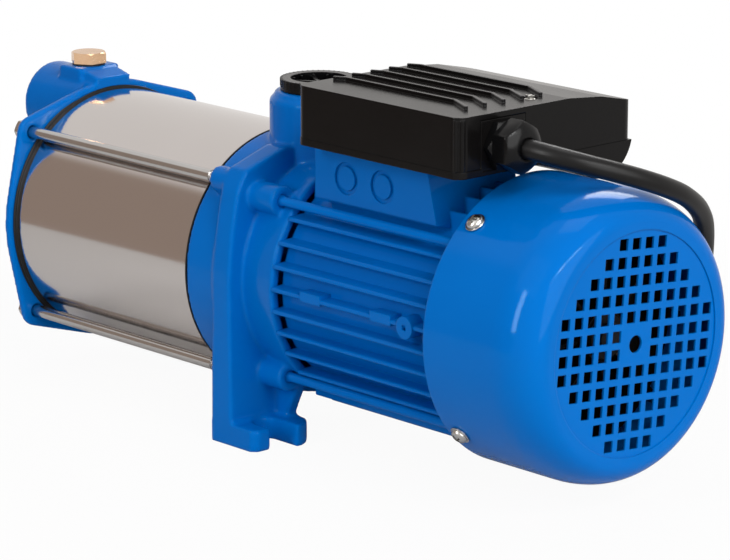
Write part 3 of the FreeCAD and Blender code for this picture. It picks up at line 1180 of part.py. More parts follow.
def gland():
    """Threaded gland body with its lock nut inside the box, the clamp nut outside and the sealing sleeve."""
    wall_face = BOX_BACK_X - BASE_PROUD
    nut_front = BOX_BACK_X + GLAND_COLLAR
    nut_back = BOX_BACK_X + GLAND_NUT_LENGTH
    bore = CORD_RADIUS + FIT
    collar = hexagon(GLAND_AF, nut_front - wall_face, Vector(wall_face, GLAND_Y, GLAND_Z), X_AXIS)
    body = joined([collar, bar(GLAND_BODY_RADIUS, wall_face - 11, nut_front + 7, GLAND_Y, GLAND_Z)])
    body = body.cut(bar(bore + 1.2, wall_face - 12, nut_back, GLAND_Y, GLAND_Z))
    inner_face = wall_face - BOX_WALL
    lock_x = inner_face - LOCK_NUT_WIDTH
    lock_nut = hexagon(LOCK_NUT_AF, LOCK_NUT_WIDTH, Vector(lock_x, GLAND_Y, GLAND_Z), X_AXIS)
    lock_nut = lock_nut.cut(bar(GLAND_BODY_RADIUS, lock_x - 1, inner_face + 1, GLAND_Y, GLAND_Z))
    nut = hexagon(GLAND_AF, nut_back - nut_front, Vector(nut_front, GLAND_Y, GLAND_Z), X_AXIS)
    nut = less(nut, [bar(GLAND_BODY_RADIUS, nut_front - 1, nut_front + 7, GLAND_Y, GLAND_Z),
                     bar(bore, nut_front, nut_back + 1, GLAND_Y, GLAND_Z)])
    sleeve = ring(bore + 1.2, CORD_BORE, nut_front - 6, nut_front + 7, GLAND_Y, GLAND_Z)
    return body, lock_nut, nut, sleeve


def bent_tube(points, radius):
    """Round tube along straight runs joined by tangent arcs, each as large as its two runs allow."""
    route = [Vector(*point) for point in points]
    edges = []
    start = route[0]
    for before, corner, after in zip(route, route[1:], route[2:]):
        entry = (corner - before).normalize()
        leave = (after - corner).normalize()
        turn = entry.getAngle(leave)
        trim = 0.45 * min((corner - before).Length, (after - corner).Length)
        bend = trim / math.tan(turn / 2)
        inward = (leave - entry).normalize()
        middle = corner + inward * (math.hypot(bend, trim) - bend)
        first = corner - entry * trim
        last = corner + leave * trim
        edges.append(Part.LineSegment(start, first).toShape())
        edges.append(Part.Arc(first, middle, last).toShape())
        print("bend", [round(value, 1) for value in corner], "radius", round(bend, 1), "turn",
              round(math.degrees(turn), 1))
        start = last
    edges.append(Part.LineSegment(start, route[-1]).toShape())
    spine = Part.Wire(edges)
    section = Part.Wire(Part.Circle(route[0], route[1] - route[0], radius).toShape())
    tube = spine.makePipeShell([section], True, False)
    print("tube volume", round(tube.Volume), "section by length", round(math.pi * radius ** 2 * spine.Length),
          "length", round(spine.Length, 1))
    return tube


def cord_coil():
    """Outer shape of the coiled cord on the floor."""
    half = COIL_ROWS * CORD_RADIUS
    top = COIL_LAYERS * 2 * CORD_RADIUS
    inner = COIL_MEAN_RADIUS - half
    outer = COIL_MEAN_RADIUS + half
    bevel = CORD_RADIUS / 2
    return turned_upright([(inner + bevel, 0), (outer - bevel, 0), (outer, bevel), (outer, top - bevel),
                           (outer - bevel, top), (inner + bevel, top), (inner, top - bevel), (inner, bevel)],
                          COIL_X, COIL_Y)


def mains_plug():
    """Moulded two-pin plug with its tapered bend relief, and its two pins."""
    x = MAINS_PLUG_X
    z = PLUG_BODY_RADIUS
    y = MAINS_PLUG_Y
    body = bar(PLUG_BODY_RADIUS, x - PLUG_BODY_LENGTH, x, y, z)
    grip = block(x - PLUG_BODY_LENGTH * 0.75, x + 1, y - PLUG_BODY_RADIUS, y + PLUG_BODY_RADIUS, 0, 2 * z)
    waist_half = PLUG_BODY_RADIUS * 0.72
    waist = rounded_block(x - PLUG_BODY_LENGTH - 1, x + 1, y - waist_half, y + waist_half, -1, 2 * z + 1, 1)
    body = body.cut(grip.cut(waist))
    relief = Part.makeCone(CORD_RADIUS + 3.5, CORD_RADIUS + 0.8, PLUG_RELIEF_LENGTH, Vector(x - 0.5, y, z),
                           X_AXIS)
    body = joined([body, relief])
    body = body.cut(bar(CORD_RADIUS, x + PLUG_RELIEF_LENGTH - PLUG_GRIP, x + PLUG_RELIEF_LENGTH + 5, y, z))
    face = x - PLUG_BODY_LENGTH
    tip = face - PLUG_PIN_LENGTH
    pins = [bar(PLUG_PIN_RADIUS, tip, face, y + side * PLUG_PIN_SPACING / 2, z) for side in (-1, 1)]
    return body, pins


def stack_pieces():
    """Inlet plate, stage housings, impellers, end spacer and shaft nut, by node name."""
    plate = ring(STAGE_RADIUS, EYE_RADIUS + WEAR_GAP, STACK_FRONT_X, STACK_FRONT_X + INLET_PLATE)
    spacer = ring(STAGE_RADIUS, STAGE_RADIUS - 4, stage_front(STAGES), DRUM_FRONT_X)
    nut_x = stage_front(0)
    nut = hexagon(SHAFT_NUT_AF, SHAFT_NUT_HEIGHT, Vector(nut_x, 0, SHAFT_HEIGHT), X_AXIS * -1)
    nut = nut.cut(bar(SHAFT_NOSE_RADIUS, nut_x - SHAFT_NUT_HEIGHT - 1, nut_x + 1))
    pieces = {"stage_inlet_plate": [plate], "stack_spacer": [spacer], "shaft_nut": [nut]}
    for number in range(STAGES):
        pieces["stage_housing_" + str(number + 1)] = [stage_housing(number)]
        pieces["impeller_" + str(number + 1)] = [impeller(number)]
    return pieces


def pump_pieces():
    """Casing, barrel, bracket, plugs and seals, by node name."""
    front_gasket, rear_gasket = barrel_gaskets()
    rods, washers = tie_rods()
    down = Z_AXIS * -1
    front = X_AXIS * -1
    fill_face = Vector(PAD_X, 0, PAD_TOP_Z)
    drain_face = Vector(DRAIN_FACE_X, 0, DRAIN_Z)
    seat_back = CHAMBER_BACK_X + SEAL_SEAT_DEPTH
    return {
        "suction_casing": [suction_casing()],
        "fill_plug": [screw_plug(fill_face + Z_AXIS * PLUG_WASHER_THICKNESS, Z_AXIS)],
        "fill_plug_washer": [plug_washer(fill_face, Z_AXIS)],
        "drain_plug": [screw_plug(drain_face + front * PLUG_WASHER_THICKNESS, front)],
        "drain_plug_washer": [plug_washer(drain_face, front)],
        "barrel": [ring(BARREL_RADIUS, BARREL_RADIUS - BARREL_WALL, BARREL_FRONT_X, BARREL_BACK_X)],
        "front_gasket": [front_gasket],
        "rear_gasket": [rear_gasket],
        "tie_rods": rods + washers,
        "bracket": [bracket()],
        "discharge_cap": [discharge_cap()],
        "shaft": [shaft()],
        "shaft_sleeve": [shaft_sleeve()],
        "seal_rotating_half": [seal_rotating()],
        "seal_seat": [ring(SEAL_SEAT_RADIUS, BEARING_SEAT_RADIUS + FIT, SEAL_FACE_X, seat_back)],
        "flinger": [ring(FLINGER_RADIUS, BEARING_SEAT_RADIUS, FLINGER_X, FLINGER_X + FLINGER_WIDTH)],
    }


def motor_pieces():
    """Motor, bearings, fan and fan cover, by node name."""
    core, windings = stator()
    front_outer, front_inner = bearing_rings(FRONT_BEARING_X)
    rear_outer, rear_inner = bearing_rings(REAR_BEARING_X)
    screws, washers = cover_screws()
    spring_x = REAR_BEARING_X + BEARING_WIDTH
    fan_back = FAN_FRONT_X + FAN_WIDTH
    return {
        "motor_frame": [motor_frame()],
        "motor_bolts": motor_bolts(),
        "stator_core": [core],
        "windings": windings,
        "rotor_core": [rotor_core()],
        "front_bearing_outer_ring": [front_outer],
        "front_bearing_inner_ring": [front_inner],
        "rear_bearing_outer_ring": [rear_outer],
        "rear_bearing_inner_ring": [rear_inner],
        "bearing_spring": [ring(BEARING_RADIUS - FIT, BEARING_RADIUS - 4, spring_x, spring_x + SPRING_SPACE)],
        "rear_shield": [rear_shield()],
        "cooling_fan": [cooling_fan()],
        "fan_clip": [ring(SHAFT_RADIUS + 3.5, SHAFT_RADIUS, fan_back, fan_back + FAN_CLIP_THICKNESS)],
        "fan_cover": [fan_cover()],
        "fan_cover_screws": screws + washers,
    }


def box_pieces():
    """Terminal box, its contents, the gland and the cord, by node name."""
    strip, strip_screws = terminal_block()
    gland_body, lock_nut, gland_nut, sleeve = gland()
    plug, pins = mains_plug()
    gasket = block(BOX_FRONT_X, PEDESTAL_BACK_X, PEDESTAL_NEAR_Y, PEDESTAL_FAR_Y, PEDESTAL_TOP_Z,
                   BOX_BOTTOM_Z)
    gasket = gasket.cut(block(BOX_FRONT_X + GASKET_BORDER, PEDESTAL_BACK_X - GASKET_BORDER,
                              PEDESTAL_NEAR_Y + GASKET_BORDER, PEDESTAL_FAR_Y - GASKET_BORDER,
                              PEDESTAL_TOP_Z - 1, BOX_BOTTOM_Z + 1))
    floor_z = BOX_BOTTOM_Z + BOX_WALL
    base_screws = [joined([post(BASE_SCREW_HEAD, x, y, floor_z, floor_z + BASE_SCREW_HEIGHT),
                           post(BASE_SCREW_SHANK, x, y, floor_z - BASE_SCREW_LENGTH, floor_z)])
                   for x, y in base_screw_places()]
    seat_z = BOX_TOP_Z - LID_SCREW_SINK
    lid_screw = [joined([post(LID_SCREW_RADIUS, x, y, seat_z, seat_z + LID_SCREW_HEIGHT),
                         post(LID_SCREW_SHANK, x, y, floor_z + 1, seat_z)])
                 for x, y in lid_screw_places()]
    return {
        "terminal_box_base": [box_base()],
        "terminal_box_lid": [box_lid()],
        "terminal_box_gasket": [gasket],
        "box_base_screws": base_screws,
        "box_lid_screw": lid_screw,
        "terminal_strip": [strip] + strip_screws,
        "capacitor": [capacitor()],
        "gland_body": [gland_body],
        "gland_lock_nut": [lock_nut],
        "gland_nut": [gland_nut],
        "gland_sleeve": [sleeve],
        "power_cord": [bent_tube(CORD_ROUTE, CORD_RADIUS)],
        "cord_coil": [cord_coil()],
        "cord_tail": [bent_tube(TAIL_ROUTE, CORD_RADIUS)],
        "mains_plug": [plug],
        "mains_plug_pins": pins,
    }


for name, solids in {**pump_pieces(), **stack_pieces(), **motor_pieces(), **box_pieces()}.items():
    export(name, *solids)
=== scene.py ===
"""Dressed scene of a horizontal multistage pump, on a pale studio floor.

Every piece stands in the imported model's own frame: metres, +Z up, +X along the shaft towards the motor's fan.
"""
import logging
import math
from dataclasses import dataclass
from enum import Enum
from typing import Any, Sequence

import bmesh
import bpy
from mathutils import Matrix, Vector


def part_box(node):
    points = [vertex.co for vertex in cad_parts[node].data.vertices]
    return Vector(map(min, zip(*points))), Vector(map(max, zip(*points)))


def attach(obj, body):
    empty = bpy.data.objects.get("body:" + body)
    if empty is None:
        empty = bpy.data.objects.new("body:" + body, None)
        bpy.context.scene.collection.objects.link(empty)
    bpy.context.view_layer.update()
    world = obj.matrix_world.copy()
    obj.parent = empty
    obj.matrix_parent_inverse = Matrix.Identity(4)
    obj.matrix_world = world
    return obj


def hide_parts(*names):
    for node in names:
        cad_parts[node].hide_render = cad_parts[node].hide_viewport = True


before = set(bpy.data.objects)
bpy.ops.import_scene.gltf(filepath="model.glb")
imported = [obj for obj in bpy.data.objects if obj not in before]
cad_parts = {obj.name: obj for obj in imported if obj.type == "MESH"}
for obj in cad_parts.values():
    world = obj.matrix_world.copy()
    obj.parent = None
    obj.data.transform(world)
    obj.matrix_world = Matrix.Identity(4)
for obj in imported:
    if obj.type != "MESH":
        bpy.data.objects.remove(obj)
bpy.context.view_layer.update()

LOG = logging.getLogger("pump")
MM = 0.001
SHAFT_Z = 0.080
ALONG_SHAFT = (0.0, math.pi / 2, 0.0)
# Vertices that are closer than this are merged
WELD_MM = 0.001
# Turned faces that meet at more than this have a sharp edge
SHARP_DEGREES = 35.0
# Colour sockets of a Mix node: its two inputs and its output
MIX_A, MIX_B, MIX_OUT = 6, 7, 2
HEXAGON = 6
Point = tuple[float, float, float]


def linear(hex_colour: str) -> tuple[float, float, float, float]:
    """Turn an sRGB colour into the linear one that shaders take.

    Args:
        hex_colour: Six hex digits, with or without a leading hash.

    Returns:
        Linear red, green and blue, and an alpha of 1.
    """
    digits = hex_colour.lstrip("#")
    parts = [int(digits[place:place + 2], 16) / 255 for place in (0, 2, 4)]
    bent = [part / 12.92 if part <= 0.04045 else ((part + 0.055) / 1.055) ** 2.4 for part in parts]
    return (bent[0], bent[1], bent[2], 1.0)


def add_node(tree: bpy.types.NodeTree, kind: str, settings: dict[Any, Any] | None = None,
             links: dict[Any, bpy.types.NodeSocket] | None = None) -> bpy.types.Node:
    """Add a node to a tree with its settings and links.

    Args:
        tree: Shader or geometry tree that gets the node.
        kind: The node's type name.
        settings: Values by socket name or number, or by the node's own property name.
        links: Sockets that feed this node, by input name or number.

    Returns:
        The new node.
    """
    node = tree.nodes.new(kind)
    for key, value in (settings or {}).items():
        if isinstance(key, int) or key in node.inputs:
            node.inputs[key].default_value = value
        else:
            setattr(node, key, value)
    for key, source in (links or {}).items():
        tree.links.new(source, node.inputs[key])
    return node


# What all finishes share: octaves of their two noises, samples of a softened edge, and the clear coat's roughness
DRIFT_DETAIL = 3.0
RELIEF_DETAIL = 2.0
EDGE_SAMPLES = 6
COAT_ROUGHNESS = 0.05


@dataclass(frozen=True)
class Finish:
    """A surface whose colour drifts softly between two shades over a fine relief.

    Sizes are the real ones in millimetres, which the patterns turn into scales.
    """

    name: str
    colour: str
    shade: str
    roughness: float
    roughness_spread: float = 0.05
    metallic: float = 0.0
    specular: float = 0.5
    coat: float = 0.0
    drift_mm: float = 40.0
    relief_mm: float = 1.2
    relief_height_mm: float = 0.02
    edge_mm: float = 0.0
    stretch: Point = (1.0, 1.0, 1.0)
    tint: Point = (1.0, 1.0, 1.0)

    def material(self) -> bpy.types.Material:
        """Return this finish's material, made on first use."""
        known = bpy.data.materials.get(self.name)
        if known:
            return known
        made = bpy.data.materials.new(self.name)
        made.use_nodes = True
        tree = made.node_tree
        shader = tree.nodes["Principled BSDF"]
        for socket, value in (("Metallic", self.metallic), ("Specular IOR Level", self.specular),
                              ("Coat Weight", self.coat), ("Coat Roughness", COAT_ROUGHNESS)):
            shader.inputs[socket].default_value = value
        shader.inputs["Specular Tint"].default_value = (*self.tint, 1.0)
        place = add_node(tree, "ShaderNodeTexCoord").outputs["Object"]
        self.paint(tree, shader, place)
        return made

    def paint(self, tree: bpy.types.NodeTree, shader: bpy.types.Node, place: bpy.types.NodeSocket) -> None:
        """Feed the shader's colour, roughness and relief.

        Args:
            tree: The material's tree.
            shader: Its Principled shader.
            place: Object coordinates in metres.
        """
        drift = add_node(tree, "ShaderNodeTexNoise", {
            "Scale": 1 / (self.drift_mm * MM), "Detail": DRIFT_DETAIL}, {"Vector": place})
        colour = add_node(tree, "ShaderNodeMix", {
            "data_type": "RGBA", MIX_A: linear(self.colour), MIX_B: linear(self.shade)}, {0: drift.outputs["Fac"]})
        spread = add_node(tree, "ShaderNodeMapRange", {
            "To Min": self.roughness - self.roughness_spread, "To Max": self.roughness + self.roughness_spread},
            {"Value": drift.outputs["Fac"]})
        stretched = add_node(tree, "ShaderNodeMapping", {"Scale": self.stretch}, {"Vector": place})
        relief = add_node(tree, "ShaderNodeTexNoise", {
            "Scale": 1 / (self.relief_mm * MM), "Detail": RELIEF_DETAIL}, {"Vector": stretched.outputs["Vector"]})
        bump = add_node(tree, "ShaderNodeBump", {
            "Strength": 1.0, "Distance": self.relief_height_mm * MM}, {"Height": relief.outputs["Fac"]})
        if self.edge_mm:
            edge = add_node(tree, "ShaderNodeBevel", {"samples": EDGE_SAMPLES, "Radius": self.edge_mm * MM})
            tree.links.new(edge.outputs["Normal"], bump.inputs["Normal"])
        tree.links.new(colour.outputs[MIX_OUT], shader.inputs["Base Color"])
        tree.links.new(spread.outputs["Result"], shader.inputs["Roughness"])
        tree.links.new(bump.outputs["Normal"], shader.inputs["Normal"])


# The pigment gives the enamel's reflections a blue cast
ENAMEL_TINT = (0.0, 0.5, 1.0)
# Oven-cured enamel over sand castings: thick and glossy, with soft edges and an orange-peel relief
CASTING_ENAMEL = Finish("enamel_on_cast_iron", "#0066BA", "#0061B3", 0.18, specular=0.08, coat=0.09, relief_mm=3.2,
                        relief_height_mm=0.09, edge_mm=2.2, tint=ENAMEL_TINT)
# The same enamel over smoother die-cast aluminium
FRAME_ENAMEL = Finish("enamel_on_aluminium", "#0065B8", "#0060B2", 0.18, specular=0.08, coat=0.09, relief_mm=4.0,
                      relief_height_mm=0.05, edge_mm=1.0, tint=ENAMEL_TINT)
# The same enamel over drawn sheet, which is smoother still and gives long clean highlights
SHEET_ENAMEL = Finish("enamel_on_steel_sheet", "#0068BD", "#0064B8", 0.12, 0.02, specular=0.08, coat=0.09,
                      relief_mm=14.0, relief_height_mm=0.03, edge_mm=0.9, tint=ENAMEL_TINT)
# Polished stainless tube: rolling lines run round it, so its reflections smear along its length
BARREL_STEEL = Finish("polished_stainless_steel", "#D3CECC", "#CFCAC8", 0.12, 0.015, metallic=1.0, drift_mm=60.0,
                      relief_mm=0.8, relief_height_mm=0.0015, stretch=(1.0, 0.02, 0.02))
# Bright-drawn zinc-plated rod, mirror smooth round it
ROD_ZINC = Finish("zinc_on_drawn_rod", "#C9C8C7", "#BCBAB9", 0.17, 0.03, metallic=1.0, drift_mm=20.0, relief_mm=1.0,
                  relief_height_mm=0.002)
# Zinc plating on small screws: bright, a little mottled
ZINC = Finish("bright_zinc_plating", "#CBCAC6", "#B4B2AE", 0.24, metallic=1.0, drift_mm=4.0, relief_mm=0.7,
              relief_height_mm=0.008)
# Machined brass, pale and coppery, with a fine turning lay
BRASS = Finish("machined_brass", "#EAC7A6", "#DAB088", 0.2, metallic=1.0, drift_mm=6.0, relief_mm=0.6,
               relief_height_mm=0.006)
# Injection-moulded ABS with a spark-eroded texture: deep black with a dull sheen
BOX_ABS = Finish("moulded_black_abs", "#090808", "#0D0C0C", 0.22, specular=0.14, relief_mm=0.9,
                 relief_height_mm=0.012, edge_mm=0.7)
# Polypropylene cap and gland parts: smoother and glossier black
PORT_PLASTIC = Finish("moulded_black_polypropylene", "#080809", "#0C0C0D", 0.2, specular=0.17, relief_mm=2.0,
                      relief_height_mm=0.01, edge_mm=0.6)
# Extruded rubber sheath, slightly chalky
CORD_RUBBER = Finish("black_rubber_sheath", "#0C0B0C", "#101010", 0.36, specular=0.2, relief_mm=0.8,
                     relief_height_mm=0.01)
# Nitrile gaskets and washers
GASKET_RUBBER = Finish("nitrile_rubber", "#0C0C0D", "#111112", 0.5, specular=0.3, relief_mm=0.5,
                       relief_height_mm=0.02)
# Shaft steel with painted shade: its colour is darkened well below bright ground steel to stand in for the shade
# inside the fan cover, where its end shows through the grille
SHADED_SHAFT_STEEL = Finish("oiled_shaft_steel", "#46474A", "#3A3B3E", 0.3, metallic=1.0, drift_mm=10.0,
                     relief_mm=0.5, relief_height_mm=0.004, stretch=(1.0, 0.1, 0.1))
# Phosphated spring steel
SPRING_STEEL = Finish("phosphated_spring_steel", "#28282A", "#202022", 0.45, metallic=0.6, relief_mm=0.5,
                      relief_height_mm=0.01)
# Glass-filled stage plastic
STAGE_PLASTIC = Finish("glass_filled_polymer", "#C9C7BE", "#BDBBB1", 0.5, relief_mm=0.8, relief_height_mm=0.02)
# Stacked electrical sheets show their edges as fine rings across the stack
LAMINATION = Finish("laminated_electrical_steel", "#6C6D70", "#57585B", 0.5, metallic=1.0, relief_mm=0.5,
                    relief_height_mm=0.05, stretch=(1.0, 0.02, 0.02))
# Varnished copper windings
COPPER = Finish("varnished_copper_wire", "#8A4526", "#6E3018", 0.35, metallic=0.6, relief_mm=1.0,
                relief_height_mm=0.2)
# Carbon and ceramic seal faces
SEAL_CARBON = Finish("seal_carbon", "#222326", "#2B2C30", 0.35, relief_mm=0.5, relief_height_mm=0.005)
# Nickel-plated plug pins
NICKEL = Finish("nickel_plated_brass", "#CFC9B8", "#C2BCAA", 0.22, metallic=1.0, drift_mm=5.0, relief_mm=0.6,
                relief_height_mm=0.004)
# Pale plastic of the capacitor's can
CAN_PLASTIC = Finish("capacitor_polypropylene", "#D8D8D2", "#CFCFC8", 0.4, relief_mm=1.0, relief_height_mm=0.01)

NODES_BY_FINISH: dict[Finish, str] = {
    CASTING_ENAMEL: "suction_casing bracket",
    FRAME_ENAMEL: "motor_frame rear_shield motor_bolts",
    SHEET_ENAMEL: "fan_cover",
    BARREL_STEEL: "barrel",
    ROD_ZINC: "tie_rods",
    ZINC: "fan_cover_screws box_base_screws box_lid_screw bearing_spring",
    BRASS: "fill_plug drain_plug",
    GASKET_RUBBER: "fill_plug_washer drain_plug_washer front_gasket rear_gasket terminal_box_gasket gland_sleeve "
                   "flinger",
    PORT_PLASTIC: "discharge_cap gland_body gland_nut gland_lock_nut",
    BOX_ABS: "terminal_box_base terminal_box_lid cooling_fan",
    CORD_RUBBER: "power_cord cord_coil cord_tail mains_plug",
    NICKEL: "mains_plug_pins",
    # Shaft, sleeve, nut and bearing rings take the steel whose colour holds painted shade
    SHADED_SHAFT_STEEL: "shaft shaft_sleeve shaft_nut front_bearing_outer_ring front_bearing_inner_ring "
                 "rear_bearing_outer_ring rear_bearing_inner_ring",
    SPRING_STEEL: "fan_clip",
    SEAL_CARBON: "seal_rotating_half seal_seat",
    STAGE_PLASTIC: "stage_inlet_plate stack_spacer terminal_strip",
    LAMINATION: "stator_core rotor_core",
    COPPER: "windings",
    CAN_PLASTIC: "capacitor",
}
NODE_FINISHES = {node: finish for finish, nodes in NODES_BY_FINISH.items() for node in nodes.split()}
STAGE_NODES = ("stage_housing_", "impeller_")


def dress_nodes() -> None:
    """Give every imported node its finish."""
    for name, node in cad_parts.items():
        finish = STAGE_PLASTIC if name.startswith(STAGE_NODES) else NODE_FINISHES.get(name, CORD_RUBBER)
        node.data.materials.clear()
        node.data.materials.append(finish.material())
        LOG.info("dressed %s with %s", name, finish.name)


def plain_mesh(obj: bpy.types.Object) -> bpy.types.Mesh:
    """Return the mesh that an object's modifiers give, as a new plain mesh."""
    graph = bpy.context.evaluated_depsgraph_get()
    return bpy.data.meshes.new_from_object(obj.evaluated_get(graph))


def apply_modifiers(obj: bpy.types.Object) -> None:
    """Turn an object's modifiers into its mesh.

    Args:
        obj: The object, which keeps no modifier.
    """
    mesh = plain_mesh(obj)
    obj.modifiers.clear()
    obj.data = mesh


def shown(name: str, mesh: bpy.types.Mesh) -> bpy.types.Object:
    """Make an object of a mesh and link it to the scene.

    Args:
        name: The object's name.
        mesh: Its mesh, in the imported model's frame.

    Returns:
        The object, at the origin.
    """
    obj = bpy.data.objects.new(name, mesh)
    bpy.context.scene.collection.objects.link(obj)
    return obj


def settle(obj: bpy.types.Object, finish: Finish, body: str, nodes: Sequence[str] = ()) -> None:
    """Turn a piece's modifiers into its mesh, dress it and let it ride on its body.

    Args:
        obj: The piece, at the origin.
        finish: What it is finished in.
        body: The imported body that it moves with.
        nodes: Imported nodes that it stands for.
    """
    if obj.modifiers:
        apply_modifiers(obj)
    obj.data.materials.clear()
    obj.data.materials.append(finish.material())
    if nodes:
        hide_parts(*nodes)
    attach(obj, body)
    LOG.info("made %s with %d faces", obj.name, len(obj.data.polygons))


def lathe(name: str, profile: Sequence[tuple[float, float]], steps: int = 40) -> bpy.types.Mesh:
    """Turn a profile about +Z into a closed mesh with smooth sides.

    Args:
        name: The mesh's name.
        profile: Radius and height pairs in millimetres, from the lower pole to the upper one.
        steps: Facets round the axis.

    Returns:
        The mesh, in metres.
    """
    shape = bmesh.new()
    rings = []
    for radius, height in profile:
        count = steps if radius > 0 else 1
        turns = [2 * math.pi * step / steps for step in range(count)]
        rings.append([shape.verts.new((radius * MM * math.cos(turn), radius * MM * math.sin(turn), height * MM))
                      for turn in turns])
    for low, high in zip(rings, rings[1:]):
        for step in range(steps):
            after = (step + 1) % steps
            if len(low) == 1:
                shape.faces.new((low[0], high[after], high[step]))
            elif len(high) == 1:
                shape.faces.new((low[step], low[after], high[0]))
            else:
                shape.faces.new((low[step], low[after], high[after], high[step]))
    bmesh.ops.remove_doubles(shape, verts=shape.verts, dist=WELD_MM * MM)
    bmesh.ops.recalc_face_normals(shape, faces=shape.faces)
    mesh = bpy.data.meshes.new(name)
    shape.to_mesh(mesh)
    shape.free()
    mesh.shade_smooth()
    mesh.set_sharp_from_angle(angle=math.radians(SHARP_DEGREES))
    return mesh


def block_mesh(name: str, low: Point, high: Point) -> bpy.types.Mesh:
    """Make a closed box.

    Args:
        name: The mesh's name.
        low: Its lowest corner in millimetres.
        high: Its highest corner in millimetres.

    Returns:
        The mesh, in metres.
    """
    shape = bmesh.new()
    bmesh.ops.create_cube(shape, size=1.0)
    for vert in shape.verts:
        vert.co = [(low[axis] + (vert.co[axis] + 0.5) * (high[axis] - low[axis])) * MM for axis in range(3)]
    mesh = bpy.data.meshes.new(name)
    shape.to_mesh(mesh)
    shape.free()
    return mesh


def add_modifier(obj: bpy.types.Object, kind: str, **settings: Any) -> None:
    """Add a modifier to an object.

    Args:
        obj: The object.
        kind: The modifier's type name.
        settings: Values of the modifier's own properties.
    """
    made = obj.modifiers.new(kind.lower(), kind)
    for key, value in settings.items():
        setattr(made, key, value)


class GeometryTree:
    """A geometry tree with named inputs, that a piece runs through once and keeps as plain mesh."""

    def __init__(self, name: str, inputs: dict[str, str]) -> None:
        """Start the tree.

        Args:
            name: The tree's name.
            inputs: Socket type of each input, by its name.
        """
        self.tree = bpy.data.node_groups.new(name, "GeometryNodeTree")
        face = self.tree.interface
        face.new_socket("Geometry", in_out="INPUT", socket_type="NodeSocketGeometry")
        for label, kind in inputs.items():
            face.new_socket(label, in_out="INPUT", socket_type=kind)
        face.new_socket("Geometry", in_out="OUTPUT", socket_type="NodeSocketGeometry")
        self.given = add_node(self.tree, "NodeGroupInput").outputs

    def node(self, kind: str, settings: dict[Any, Any] | None = None,
             links: dict[Any, bpy.types.NodeSocket] | None = None) -> bpy.types.Node:
        """Add a node to this tree."""
        return add_node(self.tree, kind, settings, links)

    def maths(self, operation: str, *sources: bpy.types.NodeSocket) -> bpy.types.NodeSocket:
        """Add a Math node and return its output."""
        return self.node("ShaderNodeMath", {"operation": operation}, dict(enumerate(sources))).outputs[0]

    def finish(self, geometry: bpy.types.NodeSocket) -> None:
        """End the tree with real copies in the given material.

        Args:
            geometry: The copies that the tree has placed.
        """
        real = self.node("GeometryNodeRealizeInstances", links={"Geometry": geometry})
        dressed = self.node("GeometryNodeSetMaterial", links={
            "Geometry": real.outputs[0], "Material": self.given["Material"]})
        self.node("NodeGroupOutput", links={0: dressed.outputs[0]})

    def run(self, obj: bpy.types.Object, **values: Any) -> None:
        """Put the tree on an object with its input values.

        Args:
            obj: The object whose mesh the tree starts from.
            values: Input values, by the input's name with underscores for spaces.
        """
        made = obj.modifiers.new(self.tree.name, "NODES")
        made.node_group = self.tree
        for item in self.tree.interface.items_tree:
            key = item.name.replace(" ", "_")
            if item.in_out == "INPUT" and key in values:
                made[item.identifier] = values[key]


def ring_tree() -> GeometryTree:
    """Make the tree that sets copies of a piece round an axis.

    Returns:
        The tree. Each copy turns its +X side outwards, and Turn is the first one's angle.
    """
    made = GeometryTree("pieces_round_axis", {
        "Count": "NodeSocketInt", "Radius": "NodeSocketFloat", "Turn": "NodeSocketFloat",
        "Centre": "NodeSocketVector", "Tilt": "NodeSocketVector", "Material": "NodeSocketMaterial"})
    circle = made.node("GeometryNodeMeshCircle", links={
        "Vertices": made.given["Count"], "Radius": made.given["Radius"]})
    first = made.node("ShaderNodeCombineXYZ", links={"Z": made.given["Turn"]})
    turned = made.node("GeometryNodeTransform", links={"Geometry": circle.outputs[0], "Rotation": first.outputs[0]})
    place = made.node("GeometryNodeInputPosition")
    parts = made.node("ShaderNodeSeparateXYZ", links={0: place.outputs[0]})
    angle = made.maths("ARCTAN2", parts.outputs["Y"], parts.outputs["X"])
    turn = made.node("ShaderNodeCombineXYZ", links={"Z": angle})
    copies = made.node("GeometryNodeInstanceOnPoints", links={
        "Points": turned.outputs[0], "Instance": made.given["Geometry"], "Rotation": turn.outputs[0]})
    placed = made.node("GeometryNodeTransform", links={
        "Geometry": copies.outputs[0], "Translation": made.given["Centre"], "Rotation": made.given["Tilt"]})
    made.finish(placed.outputs[0])
    return made


def thread_tree(steps: int = 28, sides: int = 4) -> GeometryTree:
    """Make the tree that runs a helical ridge along +X from each vertex of the starting mesh.

    Args:
        steps: Points of the ridge in one turn.
        sides: Sides of its section.

    Returns:
        The tree.
    """
    made = GeometryTree("thread_ridges", {
        "Turns": "NodeSocketFloat", "Length": "NodeSocketFloat", "Radius": "NodeSocketFloat",
        "Ridge": "NodeSocketFloat", "Material": "NodeSocketMaterial"})
    helix = made.node("GeometryNodeCurveSpiral", {"Resolution": steps}, {
        "Rotations": made.given["Turns"], "Start Radius": made.given["Radius"], "End Radius": made.given["Radius"],
        "Height": made.given["Length"]})
    section = made.node("GeometryNodeCurvePrimitiveCircle", {"Resolution": sides}, {"Radius": made.given["Ridge"]})
    ridge = made.node("GeometryNodeCurveToMesh", {"Fill Caps": True}, {
        "Curve": helix.outputs[0], "Profile Curve": section.outputs[0]})
    copies = made.node("GeometryNodeInstanceOnPoints", {"Rotation": (0.0, math.pi / 2, 0.0)}, {
        "Points": made.given["Geometry"], "Instance": ridge.outputs[0]})
    made.finish(copies.outputs[0])
    return made


